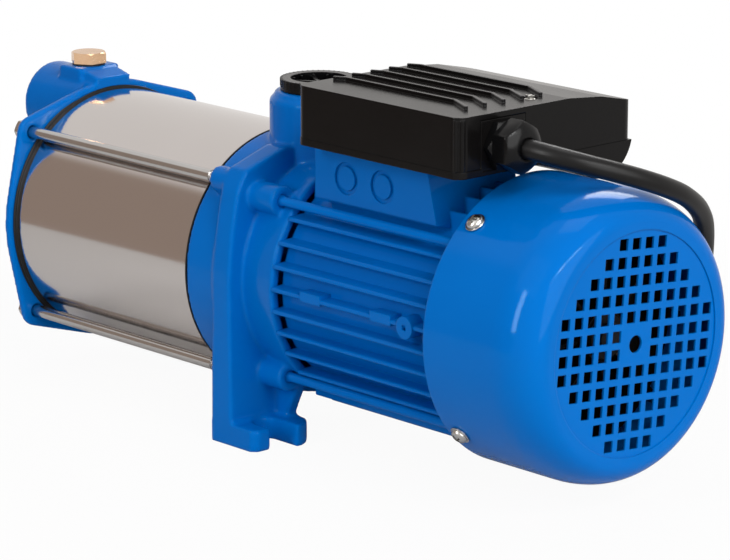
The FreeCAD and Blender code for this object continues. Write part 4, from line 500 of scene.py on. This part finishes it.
def bead_tree(sides: int = 10) -> GeometryTree:
    """Make the tree that runs round beads along X on the tips of parallel fins, which end on one circle.

    Args:
        sides: Sides of a bead's section.

    Returns:
        The tree.
    """
    made = GeometryTree("fin_tip_beads", {
        "Count": "NodeSocketInt", "First": "NodeSocketFloat", "Pitch": "NodeSocketFloat",
        "Tip Radius": "NodeSocketFloat", "Front": "NodeSocketFloat", "Length": "NodeSocketFloat",
        "Bead": "NodeSocketFloat", "Centre": "NodeSocketVector", "Tilt": "NodeSocketVector",
        "Material": "NodeSocketMaterial"})
    start = made.node("ShaderNodeCombineXYZ", links={"X": made.given["Front"], "Z": made.given["First"]})
    step = made.node("ShaderNodeCombineXYZ", links={"Z": made.given["Pitch"]})
    row = made.node("GeometryNodeMeshLine", links={
        "Count": made.given["Count"], "Start Location": start.outputs[0], "Offset": step.outputs[0]})
    parts = made.node("ShaderNodeSeparateXYZ", links={0: made.node("GeometryNodeInputPosition").outputs[0]})
    high = made.maths("MULTIPLY", parts.outputs["Z"], parts.outputs["Z"])
    reach = made.maths("MULTIPLY", made.given["Tip Radius"], made.given["Tip Radius"])
    out = made.maths("SQRT", made.maths("SUBTRACT", reach, high))
    shift = made.node("ShaderNodeCombineXYZ", links={"Y": out})
    points = made.node("GeometryNodeSetPosition", links={"Geometry": row.outputs[0], "Offset": shift.outputs[0]})
    end = made.node("ShaderNodeCombineXYZ", links={"X": made.given["Length"]})
    line = made.node("GeometryNodeCurvePrimitiveLine", links={"End": end.outputs[0]})
    section = made.node("GeometryNodeCurvePrimitiveCircle", {"Resolution": sides}, {"Radius": made.given["Bead"]})
    bead = made.node("GeometryNodeCurveToMesh", {"Fill Caps": True}, {
        "Curve": line.outputs[0], "Profile Curve": section.outputs[0]})
    copies = made.node("GeometryNodeInstanceOnPoints", links={
        "Points": points.outputs[0], "Instance": bead.outputs[0]})
    placed = made.node("GeometryNodeTransform", links={
        "Geometry": copies.outputs[0], "Translation": made.given["Centre"], "Rotation": made.given["Tilt"]})
    made.finish(placed.outputs[0])
    return made


@dataclass
class PanScrew:
    """A pan-head screw on its washer, made about +Z with the washer's underside at height 0."""

    head_mm: float = 4.15
    height_mm: float = 2.5
    washer_mm: float = 5.0
    washer_thickness_mm: float = 0.9
    shank_mm: float = 2.0
    length_mm: float = 9.0
    burr_mm: float = 0.15
    edge_mm: float = 0.2
    dome_levels: tuple[float, ...] = (0.25, 0.5, 0.7, 0.85, 0.96)
    dome_fall: float = 0.98
    dome_power: float = 2.4
    recess_bars: int = 2
    recess_share: float = 0.62
    recess_half_mm: float = 0.55
    recess_depth_mm: float = 1.5
    cutter_rise_mm: float = 1.0
    recess_turn: float = 0.5

    def mesh(self) -> bpy.types.Mesh:
        """Turn the screw and cut the crossed bars of its recess.

        Returns:
            The mesh, in metres.
        """
        seat = self.washer_thickness_mm
        top = seat + self.height_mm
        profile = [(0, -self.length_mm), (self.shank_mm, -self.length_mm), (self.shank_mm, 0),
                   (self.washer_mm - self.burr_mm, 0), (self.washer_mm, self.burr_mm),
                   (self.washer_mm, seat - self.edge_mm), (self.washer_mm - self.edge_mm, seat),
                   (self.head_mm - self.edge_mm / 2, seat), (self.head_mm, seat + self.edge_mm)]
        for level in self.dome_levels:
            width = math.sqrt(1 - (level * self.dome_fall) ** self.dome_power)
            profile.append((self.head_mm * width, seat + self.height_mm * level))
        profile.append((0, top))
        head = shown("screw", lathe("screw", profile))
        cutters = []
        low = (-self.head_mm * self.recess_share, -self.recess_half_mm, top - self.recess_depth_mm)
        high = (self.head_mm * self.recess_share, self.recess_half_mm, top + self.cutter_rise_mm)
        for bar in range(self.recess_bars):
            cutter = shown("cutter", block_mesh("cutter", low, high))
            cutter.data.transform(Matrix.Rotation(math.pi / 2 * bar + self.recess_turn, 4, "Z"))
            cutters.append(cutter)
            add_modifier(head, "BOOLEAN", operation="DIFFERENCE", object=cutter, solver="EXACT")
        made = plain_mesh(head)
        for used in [head, *cutters]:
            bpy.data.objects.remove(used)
        return made


@dataclass
class CoverScrews:
    """The four screws that hold the fan cover on the rear shield's lugs."""

    station_mm: float = 154.6
    cover_radius_mm: float = 69.7
    turn_degrees: float = 40.0
    count: int = 4

    def build(self, ring: GeometryTree) -> None:
        """Set the screws round the cover.

        Args:
            ring: The tree that sets copies round an axis.
        """
        mesh = PanScrew().mesh()
        mesh.transform(Matrix.Rotation(math.pi / 2, 4, "Y"))
        obj = shown("cover_screws", mesh)
        ring.run(obj, Count=self.count, Radius=self.cover_radius_mm * MM, Turn=math.radians(self.turn_degrees),
                 Centre=(self.station_mm * MM, 0.0, SHAFT_Z), Tilt=ALONG_SHAFT, Material=ZINC.material())
        settle(obj, ZINC, "pump", ["fan_cover_screws"])


@dataclass
class ThroughBolts:
    """The four long painted bolts beside the motor frame, with waisted shanks as the photograph shows them."""

    front_mm: float = 9.0
    head_front_mm: float = 160.0
    end_mm: float = 164.5
    thread_back_mm: float = 24.5
    waist_mm: float = 1.0
    thread_radius_mm: float = 3.0
    shank_radius_mm: float = 2.3
    head_flats_mm: float = 8.0
    head_edge_mm: float = 0.5
    circle_mm: float = 62.6
    turn_degrees: float = 47.8
    count: int = 4
    steps: int = 24

    def build(self, ring: GeometryTree) -> None:
        """Turn one bolt and set four of them round the shaft.

        Args:
            ring: The tree that sets copies round an axis.
        """
        shank = lathe("through_bolts", [
            (0, self.front_mm), (self.thread_radius_mm, self.front_mm),
            (self.thread_radius_mm, self.thread_back_mm - self.waist_mm), (self.shank_radius_mm, self.thread_back_mm),
            (self.shank_radius_mm, self.head_front_mm), (0, self.head_front_mm)], self.steps)
        corner = self.head_flats_mm / math.sqrt(3)
        edge = self.head_edge_mm
        head = lathe("bolt_head", [
            (0, self.head_front_mm), (corner, self.head_front_mm), (corner, self.end_mm - edge),
            (corner - edge, self.end_mm), (0, self.end_mm)], HEXAGON)
        shape = bmesh.new()
        shape.from_mesh(shank)
        shape.from_mesh(head)
        shape.to_mesh(shank)
        shape.free()
        obj = shown("through_bolts", shank)
        ring.run(obj, Count=self.count, Radius=self.circle_mm * MM, Turn=math.radians(self.turn_degrees),
                 Centre=(0.0, 0.0, SHAFT_Z), Tilt=ALONG_SHAFT, Material=FRAME_ENAMEL.material())
        settle(obj, FRAME_ENAMEL, "pump", ["motor_bolts"])


@dataclass
class Casting:
    """A sand casting with the soft corners and hollows that such parts have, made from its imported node.

    Where back_mm is given, what lies behind that station is drawn forward to it. Between the two web heights the
    limit moves back by web_mm, so that the flange runs out into the casting's web above.
    """

    node: str
    voxel_mm: float = 0.9
    passes: int = 9
    pull: float = 0.5
    kept_share: float = 0.35
    back_mm: float | None = None
    web_low_mm: float = 141.0
    web_high_mm: float = 152.0
    web_mm: float = 4.0

    def build(self) -> None:
        """Merge a copy of the node, remesh it evenly, soften it and thin it out."""
        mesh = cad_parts[self.node].data.copy()
        shape = bmesh.new()
        shape.from_mesh(mesh)
        bmesh.ops.remove_doubles(shape, verts=shape.verts, dist=WELD_MM * MM)
        if self.back_mm is not None:
            for vert in shape.verts:
                rise = (vert.co.z / MM - self.web_low_mm) / (self.web_high_mm - self.web_low_mm)
                limit = self.back_mm + self.web_mm * min(max(rise, 0.0), 1.0)
                vert.co.x = min(vert.co.x, limit * MM)
        shape.to_mesh(mesh)
        shape.free()
        obj = shown(f"{self.node}_cast", mesh)
        add_modifier(obj, "REMESH", mode="VOXEL", voxel_size=self.voxel_mm * MM)
        add_modifier(obj, "SMOOTH", factor=self.pull, iterations=self.passes)
        add_modifier(obj, "DECIMATE", ratio=self.kept_share)
        apply_modifiers(obj)
        obj.data.shade_smooth()
        settle(obj, CASTING_ENAMEL, "pump", [self.node])


@dataclass
class Barrel:
    """The polished stainless tube between the two castings."""

    front_mm: float = -163.9
    back_mm: float = -28.8
    outer_mm: float = 64.3
    inner_mm: float = 63.0
    steps: int = 256

    def build(self) -> None:
        """Turn the tube along the shaft."""
        length = self.back_mm - self.front_mm
        mesh = lathe("barrel_tube", [(self.inner_mm, 0.0), (self.outer_mm, 0.0), (self.outer_mm, length),
                                     (self.inner_mm, length), (self.inner_mm, 0.0)], self.steps)
        move = Matrix.Translation((self.front_mm * MM, 0.0, SHAFT_Z))
        mesh.transform(move @ Matrix.Rotation(math.pi / 2, 4, "Y"))
        settle(shown("barrel_tube", mesh), BARREL_STEEL, "pump", ["barrel"])


@dataclass
class BarrelGasket:
    """The gasket that shows between the suction casing and the barrel, with its two sealing beads."""

    front_mm: float = -166.0
    inner_mm: float = 64.32
    profile_mm: tuple[tuple[float, float], ...] = (
        (65.6, 0.0), (65.9, 0.3), (65.9, 0.8), (65.5, 1.1), (65.1, 1.3), (65.1, 1.6), (65.4, 1.8), (65.5, 2.2),
        (65.3, 2.6))
    steps: int = 120

    def build(self) -> None:
        """Turn the ring round the shaft."""
        ends = ((self.inner_mm, 0.0), (self.inner_mm, self.profile_mm[-1][1]))
        mesh = lathe("barrel_gasket", [ends[0], *self.profile_mm, ends[1], ends[0]], self.steps)
        move = Matrix.Translation((self.front_mm * MM, 0.0, SHAFT_Z))
        mesh.transform(move @ Matrix.Rotation(math.pi / 2, 4, "Y"))
        settle(shown("barrel_gasket", mesh), GASKET_RUBBER, "pump", ["front_gasket"])


@dataclass
class PortCap:
    """Grip teeth round the rim of the discharge port's cap, and the small ribs inside it."""

    centre_mm: Point = (-2.0, 0.0, 167.3)
    teeth: int = 44
    tooth_circle_mm: float = 19.0
    tooth_mm: tuple[Point, Point] = ((-1.3, -0.4, 1.6), (0.2, 0.4, 5.7))
    tooth_edge_mm: float = 0.2
    ribs: int = 12
    rib_circle_mm: float = 13.9
    rib_mm: tuple[Point, Point] = ((-1.5, -0.5, -11.0), (0.6, 0.5, 4.8))
    rib_edge_mm: float = 0.25
    edge_segments: int = 2

    def build(self, ring: GeometryTree) -> None:
        """Set the teeth and the ribs round the port's axis.

        Args:
            ring: The tree that sets copies round an axis.
        """
        rows = (("cap_teeth", self.tooth_mm, self.tooth_edge_mm, self.teeth, self.tooth_circle_mm),
                ("cap_inner_ribs", self.rib_mm, self.rib_edge_mm, self.ribs, self.rib_circle_mm))
        for name, (low, high), edge, count, circle in rows:
            piece = shown(name, block_mesh(name, low, high))
            add_modifier(piece, "BEVEL", width=edge * MM, segments=self.edge_segments)
            apply_modifiers(piece)
            ring.run(piece, Count=count, Radius=circle * MM, Centre=tuple(value * MM for value in self.centre_mm),
                     Material=PORT_PLASTIC.material())
            settle(piece, PORT_PLASTIC, "port_cap")


@dataclass
class Threads:
    """Pipe thread in the suction port, and the rolled threads where the tie rods enter the bracket's ears."""

    port_inset_mm: float = 1.0
    port_z_mm: float = 131.4
    port_radius_mm: float = 16.2
    port_length_mm: float = 18.5
    port_pitch_mm: float = 2.31
    port_ridge_mm: float = 0.9
    rod_y_mm: float = 51.3
    rod_z_mm: float = 47.5
    rod_start_mm: float = -22.6
    rod_length_mm: float = 4.6
    rod_radius_mm: float = 2.62
    rod_pitch_mm: float = 1.0
    rod_ridge_mm: float = 0.4

    def points(self, name: str, places: Sequence[Point]) -> bpy.types.Object:
        """Make an object of loose vertices.

        Args:
            name: The object's name.
            places: Where the vertices stand, in millimetres.

        Returns:
            The object.
        """
        mesh = bpy.data.meshes.new(name)
        mesh.from_pydata([[value * MM for value in place] for place in places], [], [])
        return shown(name, mesh)

    def build(self, thread: GeometryTree) -> None:
        """Run the ridges at the port and at the four rods.

        Args:
            thread: The tree that runs helical ridges.
        """
        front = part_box("suction_casing")[0].x / MM
        port = self.points("port_thread", [(front + self.port_inset_mm, 0.0, self.port_z_mm)])
        thread.run(port, Turns=self.port_length_mm / self.port_pitch_mm, Length=self.port_length_mm * MM,
                   Radius=self.port_radius_mm * MM, Ridge=self.port_ridge_mm * MM,
                   Material=CASTING_ENAMEL.material())
        settle(port, CASTING_ENAMEL, "pump")
        places = [(self.rod_start_mm, side * self.rod_y_mm, SHAFT_Z / MM + level * self.rod_z_mm)
                  for side in (-1, 1) for level in (-1, 1)]
        rods = self.points("rod_threads", places)
        thread.run(rods, Turns=self.rod_length_mm / self.rod_pitch_mm, Length=self.rod_length_mm * MM,
                   Radius=self.rod_radius_mm * MM, Ridge=self.rod_ridge_mm * MM, Material=ROD_ZINC.material())
        settle(rods, ROD_ZINC, "pump")


class FinSide(Enum):
    """Side of the motor frame that a row of fins faces, by the row's turn about the shaft in degrees."""

    NEAR = 180.0
    FAR = 0.0
    TOP = 90.0
    LOW = -90.0


@dataclass
class FinTips:
    """Rounded tips of the motor frame's cooling fins, on all four sides."""

    front_mm: float = 32.4
    back_mm: float = 146.4
    bead_mm: float = 1.15
    tip_radius_mm: float = 59.8
    low_tip_radius_mm: float = 62.8
    side_first_mm: float = -42.0
    side_pitch_mm: float = 11.0
    side_count: int = 8
    upright_first_mm: float = -31.5
    upright_pitch_mm: float = 10.5
    upright_count: int = 7

    def build(self, beads: GeometryTree) -> None:
        """Run a bead along every fin, one row of fins at a time.

        Args:
            beads: The tree that runs beads on fin tips.
        """
        side = (self.side_count, self.side_first_mm, self.side_pitch_mm, self.tip_radius_mm)
        near = (self.side_count, -self.side_first_mm, -self.side_pitch_mm, self.tip_radius_mm)
        upright = (self.upright_count, self.upright_first_mm, self.upright_pitch_mm)
        rows = {FinSide.NEAR: near, FinSide.FAR: side, FinSide.TOP: (*upright, self.tip_radius_mm),
                FinSide.LOW: (*upright, self.low_tip_radius_mm)}
        for facing, (count, first, pitch, tip) in rows.items():
            name = f"{facing.name.lower()}_fin_tips"
            obj = shown(name, bpy.data.meshes.new(name))
            beads.run(obj, Count=count, First=first * MM, Pitch=pitch * MM, Tip_Radius=tip * MM,
                      Front=self.front_mm * MM, Length=(self.back_mm - self.front_mm) * MM, Bead=self.bead_mm * MM,
                      Centre=(0.0, 0.0, SHAFT_Z), Tilt=(math.radians(facing.value), 0.0, 0.0),
                      Material=FRAME_ENAMEL.material())
            settle(obj, FRAME_ENAMEL, "pump")
            obj.data.shade_smooth()


@dataclass
class GlandNut:
    """Clamp nut of the cable gland: hexagon with chamfered corners and a domed end round the cord."""

    front_mm: float = 160.0
    back_mm: float = 172.0
    centre_y_mm: float = -29.0
    centre_z_mm: float = 168.3
    flats_mm: float = 22.0
    bore_mm: float = 5.05
    thread_bore_mm: float = 8.0
    thread_depth_mm: float = 7.0
    chamfer_mm: tuple[float, float] = (0.9, 0.8)
    dome_mm: tuple[tuple[float, float], ...] = ((0.0, 4.2), (1.1, 2.6), (3.4, 1.0), (6.0, 0.0))
    edge_mm: float = 0.45
    edge_segments: int = 3
    edge_degrees: float = 40.0
    steps: int = 72

    def build(self) -> None:
        """Cut the hexagon by a domed turning, round its edges and set it on the gland."""
        length = self.back_mm - self.front_mm
        corner = self.flats_mm / math.sqrt(3)
        dome = [(corner - inward, length - down) for inward, down in self.dome_mm]
        turned = [(self.thread_bore_mm, 0.0), (corner - self.chamfer_mm[0], 0.0), (corner, self.chamfer_mm[1]), *dome,
                  (self.bore_mm, length), (self.bore_mm, self.thread_depth_mm),
                  (self.thread_bore_mm, self.thread_depth_mm), (self.thread_bore_mm, 0.0)]
        body = shown("gland_clamp_nut", lathe("gland_clamp_nut", turned, self.steps))
        hexagon = shown("flats", lathe("flats", [
            (0, -1.0), (corner, -1.0), (corner, length + 1.0), (0, length + 1.0)], HEXAGON))
        add_modifier(body, "BOOLEAN", operation="INTERSECT", object=hexagon, solver="EXACT")
        add_modifier(body, "BEVEL", width=self.edge_mm * MM, segments=self.edge_segments, limit_method="ANGLE",
                     angle_limit=math.radians(self.edge_degrees))
        apply_modifiers(body)
        bpy.data.objects.remove(hexagon)
        move = Matrix.Translation((self.front_mm * MM, self.centre_y_mm * MM, self.centre_z_mm * MM))
        body.data.transform(move @ Matrix.Rotation(math.pi / 2, 4, "Y"))
        body.data.shade_smooth()
        body.data.set_sharp_from_angle(angle=math.radians(self.edge_degrees))
        settle(body, PORT_PLASTIC, "pump", ["gland_nut"])


@dataclass
class LidScrew:
    """The screw of the terminal box's lid, deep in its well."""

    place_mm: Point = (142.5, 1.5, 181.5)

    def build(self) -> None:
        """Make the screw upright in its well."""
        screw = PanScrew(head_mm=3.4, height_mm=2.0, washer_mm=3.45, washer_thickness_mm=0.3, length_mm=15.0)
        mesh = screw.mesh()
        mesh.transform(Matrix.Translation([value * MM for value in self.place_mm]))
        settle(shown("lid_screw", mesh), ZINC, "pump", ["box_lid_screw"])


@dataclass(frozen=True)
class Softbox:
    """A rectangular lamp: its centre, the point that it faces, its width and height in metres, and its watts."""

    name: str
    place: Point
    target: Point
    size: tuple[float, float]
    power: float

    def build(self) -> None:
        """Hang the lamp and turn it to its target."""
        data = bpy.data.lights.new(self.name, "AREA")
        data.shape = "RECTANGLE"
        data.size, data.size_y = self.size
        data.energy = self.power
        lamp = bpy.data.objects.new(self.name, data)
        bpy.context.scene.collection.objects.link(lamp)
        lamp.location = self.place
        lamp.rotation_euler = (Vector(self.target) - Vector(self.place)).to_track_quat("-Z", "Y").to_euler()


@dataclass
class Studio:
    """Camera, soft lamps, a plain room and a pale floor."""

    eye: Point = (1.3131, -1.1757, 0.5118)
    azimuth: float = 47.47
    elevation: float = 14.05
    focal_px: float = 3656.0
    image_width_px: float = 730.0
    sensor_mm: float = 36.0
    view_depth: float = 50.0
    lamps: tuple[Softbox, ...] = (
        Softbox("key", (-0.1, -1.5, 1.7), (0.0, 0.0, 0.1), (1.5, 1.1), 3.0),
        Softbox("strip", (-0.09, -1.45, 0.66), (0.2, 0.0, 0.1), (0.2, 0.8), 10.0),
        Softbox("fill", (1.9, -0.3, 0.9), (0.1, 0.0, 0.1), (2.2, 1.8), 40.0),
        Softbox("rim", (1.18, -0.3, 1.13), (0.2, 0.0, 0.1), (0.8, 0.05), 5.0),
        Softbox("top", (-0.42, 0.86, 0.92), (0.1, 0.0, 0.1), (0.5, 0.35), 4.5),
        Softbox("overhead", (-0.1, 0.3, 2.2), (0.0, 0.0, 0.1), (1.0, 1.0), 7.0),
    )
    floor_tone: str = "#CECCCA"
    floor_roughness: float = 0.85
    floor_radius: float = 0.62
    floor_steps: int = 96
    fade_start: float = 0.30
    fade_end: float = 0.56
    white_share: float = 0.95
    room_tone: str = "#E2DFDC"
    flag_tone: str = "#9A8A7F"
    flag_heading: Point = (-0.70, -0.71, 0.07)
    flag_degrees: tuple[float, float] = (38.0, 30.0)
    mirrored_level: float = 1.12
    diffuse_level: float = 0.2

    def camera(self) -> None:
        """Place the camera at the photograph's eye, with its long lens."""
        data = bpy.data.cameras.new("camera")
        data.sensor_width = self.sensor_mm
        data.lens = self.focal_px * self.sensor_mm / self.image_width_px
        data.clip_end = self.view_depth
        camera = bpy.data.objects.new("camera", data)
        bpy.context.scene.collection.objects.link(camera)
        turn = math.radians(self.azimuth)
        rise = math.radians(self.elevation)
        back = Vector((math.sin(turn) * math.cos(rise), -math.cos(turn) * math.cos(rise), math.sin(rise)))
        camera.location = self.eye
        camera.rotation_mode = "QUATERNION"
        camera.rotation_quaternion = (-back).to_track_quat("-Z", "Y")
        bpy.context.scene.camera = camera

    def floor(self) -> None:
        """Lay a round pale floor that keeps the pump's shadow and fades to white towards its rim."""
        made = bpy.data.materials.new("pale_studio_floor")
        made.use_nodes = True
        tree = made.node_tree
        shader = tree.nodes["Principled BSDF"]
        shader.inputs["Base Color"].default_value = linear(self.floor_tone)
        shader.inputs["Roughness"].default_value = self.floor_roughness
        white = add_node(tree, "ShaderNodeEmission", {"Color": linear("#FFFFFF"), "Strength": 1.0})
        place = add_node(tree, "ShaderNodeTexCoord").outputs["Object"]
        far = add_node(tree, "ShaderNodeVectorMath", {"operation": "LENGTH"}, {0: place})
        fade = add_node(tree, "ShaderNodeMapRange", {
            "interpolation_type": "SMOOTHSTEP", "From Min": self.fade_start, "From Max": self.fade_end,
            "To Min": self.white_share}, {"Value": far.outputs["Value"]})
        seen = add_node(tree, "ShaderNodeLightPath").outputs["Is Camera Ray"]
        share = add_node(tree, "ShaderNodeMath", {"operation": "MULTIPLY"}, {0: fade.outputs["Result"], 1: seen})
        mixed = add_node(tree, "ShaderNodeMixShader", {}, {
            0: share.outputs[0], 1: shader.outputs[0], 2: white.outputs[0]})
        tree.links.new(mixed.outputs[0], tree.nodes["Material Output"].inputs["Surface"])
        turns = [2 * math.pi * step / self.floor_steps for step in range(self.floor_steps)]
        rim = [(self.floor_radius * math.cos(turn), self.floor_radius * math.sin(turn), 0.0) for turn in turns]
        mesh = bpy.data.meshes.new("floor")
        mesh.from_pydata(rim, [], [list(range(self.floor_steps))])
        mesh.materials.append(made)
        shown("floor", mesh)

    def world(self) -> None:
        """Light the room evenly, with one dark warm flag near the pump's end that the steel mirrors."""
        world = bpy.data.worlds.new("studio")
        world.use_nodes = True
        bpy.context.scene.world = world
        tree = world.node_tree
        tree.nodes.clear()
        heading = add_node(tree, "ShaderNodeTexCoord").outputs["Generated"]
        towards = add_node(tree, "ShaderNodeVectorMath", {"operation": "DOT_PRODUCT", 1: self.flag_heading},
                           {0: heading})
        outer, inner = (math.cos(math.radians(angle)) for angle in self.flag_degrees)
        flag = add_node(tree, "ShaderNodeMapRange", {
            "interpolation_type": "SMOOTHSTEP", "From Min": outer, "From Max": inner},
            {"Value": towards.outputs["Value"]})
        tone = add_node(tree, "ShaderNodeMix", {
            "data_type": "RGBA", MIX_A: linear(self.room_tone), MIX_B: linear(self.flag_tone)},
            {0: flag.outputs["Result"]})
        path = add_node(tree, "ShaderNodeLightPath")
        level = add_node(tree, "ShaderNodeMapRange", {"To Min": self.mirrored_level, "To Max": self.diffuse_level},
                         {"Value": path.outputs["Is Diffuse Ray"]})
        room = add_node(tree, "ShaderNodeBackground", {}, {
            "Color": tone.outputs[MIX_OUT], "Strength": level.outputs["Result"]})
        white = add_node(tree, "ShaderNodeBackground", {"Color": linear("#FFFFFF"), "Strength": 1.0})
        seen = add_node(tree, "ShaderNodeMath", {"operation": "MAXIMUM"},
                        {0: path.outputs["Is Camera Ray"], 1: path.outputs["Is Transmission Ray"]})
        both = add_node(tree, "ShaderNodeMixShader", {}, {
            0: seen.outputs[0], 1: room.outputs[0], 2: white.outputs[0]})
        add_node(tree, "ShaderNodeOutputWorld", {}, {"Surface": both.outputs[0]})

    def build(self) -> None:
        """Set up the whole studio."""
        self.camera()
        self.floor()
        self.world()
        for lamp in self.lamps:
            lamp.build()
        bpy.context.scene.view_settings.view_transform = "Standard"
        LOG.info("studio is set up")


@dataclass
class PowerCord:
    """The rubber cord from the gland: down behind the fan cover, three turns lying on the floor, and its plug.

    A move of the coil is given by the turn at which it starts and the share of a turn that it takes.
    """

    radius_mm: float = 4.75
    coil_centre_mm: tuple[float, float] = (30.0, 146.0)
    outer_turn_mm: float = 57.0
    inner_turn_mm: float = 47.5
    low_mm: float = 4.75
    high_mm: float = 14.3
    turns: int = 3
    steps: int = 18
    move_in: tuple[float, float] = (0.72, 0.22)
    climb: tuple[float, float] = (1.56, 0.16)
    move_out: tuple[float, float] = (2.25, 0.42)
    section_resolution: int = 5
    length_resolution: int = 8
    spline_order: int = 3
    route_mm: tuple[Point, ...] = (
        (162.0, -29.0, 168.3), (172.0, -29.0, 168.3), (182.7, -27.0, 167.3), (192.4, -22.3, 165.3),
        (200.4, -15.3, 162.7), (206.3, -6.5, 159.7), (210.3, 4.5, 155.8), (211.9, 18.0, 150.7),
        (209.7, 36.6, 142.9), (201.2, 57.2, 130.2), (189.5, 71.9, 112.7), (180.2, 79.8, 90.1),
        (173.9, 85.3, 65.8), (167.3, 88.5, 45.4), (158.7, 90.1, 28.2), (145.9, 90.8, 14.2),
        (128.8, 90.6, 6.4), (109.6, 89.9, 4.75), (90.0, 89.4, 4.75), (73.0, 89.2, 4.75), (58.0, 89.0, 4.75),
        (44.0, 88.6, 4.75),
    )
    tail_mm: tuple[Point, ...] = (
        (30.0, 88.4, 14.3), (14.0, 88.0, 14.0), (-1.0, 87.6, 12.0), (-15.0, 88.0, 8.6), (-27.0, 89.0, 6.6),
        (-38.0, 90.8, 7.0), (-49.0, 92.8, 9.4), (-65.0, 95.0, 14.2), (-79.0, 96.0, 17.6), (-90.0, 96.0, 18.5),
    )

    def eased(self, turn: float, move: tuple[float, float]) -> float:
        """Work out how far a move of the coil has come, with soft ends.

        Args:
            turn: The turn that the cord has reached.
            move: The turn at which the move starts, and the share of a turn that it takes.

        Returns:
            A share from 0 to 1.
        """
        held = min(max((turn - move[0]) / move[1], 0.0), 1.0)
        return held * held * (3 - 2 * held)

    def coil_points(self) -> list[Point]:
        """Work out the control points of the turns on the floor.

        Returns:
            Points in millimetres: one turn outside, one inside it, and a last one that climbs onto both.
        """
        points = []
        spread = 1 / math.cos(math.pi / self.steps)
        gap = self.outer_turn_mm - self.inner_turn_mm
        for step in range(self.turns * self.steps):
            turn = step / self.steps
            angle = math.radians(-90 - 360 * turn)
            radius = self.outer_turn_mm + gap * (self.eased(turn, self.move_out) - self.eased(turn, self.move_in))
            height = self.low_mm + (self.high_mm - self.low_mm) * self.eased(turn, self.climb)
            points.append((self.coil_centre_mm[0] + radius * spread * math.cos(angle),
                           self.coil_centre_mm[1] + radius * spread * math.sin(angle), height))
        return points

    def build(self) -> None:
        points = [*self.route_mm, *self.coil_points(), *self.tail_mm]
        data = bpy.data.curves.new("cord", "CURVE")
        data.dimensions = "3D"
        data.bevel_depth = self.radius_mm * MM
        data.bevel_resolution = self.section_resolution
        data.resolution_u = self.length_resolution
        data.use_fill_caps = True
        spline = data.splines.new("NURBS")
        spline.points.add(len(points) - 1)
        for target, point in zip(spline.points, points):
            target.co = (*(value * MM for value in point), 1.0)
        spline.order_u = self.spline_order
        spline.use_endpoint_u = True
        data.materials.append(CORD_RUBBER.material())
        cord = bpy.data.objects.new("cord", data)
        bpy.context.scene.collection.objects.link(cord)
        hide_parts("power_cord", "cord_coil", "cord_tail")
        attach(cord, "pump")
        LOG.info("cord laid along %d points", len(points))


def main() -> None:
    """Build the scene, piece by piece."""
    logging.basicConfig(level=logging.INFO)
    Studio().build()
    dress_nodes()
    PowerCord().build()
    ring = ring_tree()
    CoverScrews().build(ring)
    ThroughBolts().build(ring)
    BarrelGasket().build()
    Barrel().build()
    Casting("bracket").build()
    Casting("suction_casing", back_mm=-166.0).build()
    PortCap().build(ring)
    Threads().build(thread_tree())
    FinTips().build(bead_tree())
    GlandNut().build()
    LidScrew().build()


if __name__ == "__main__":
    main()
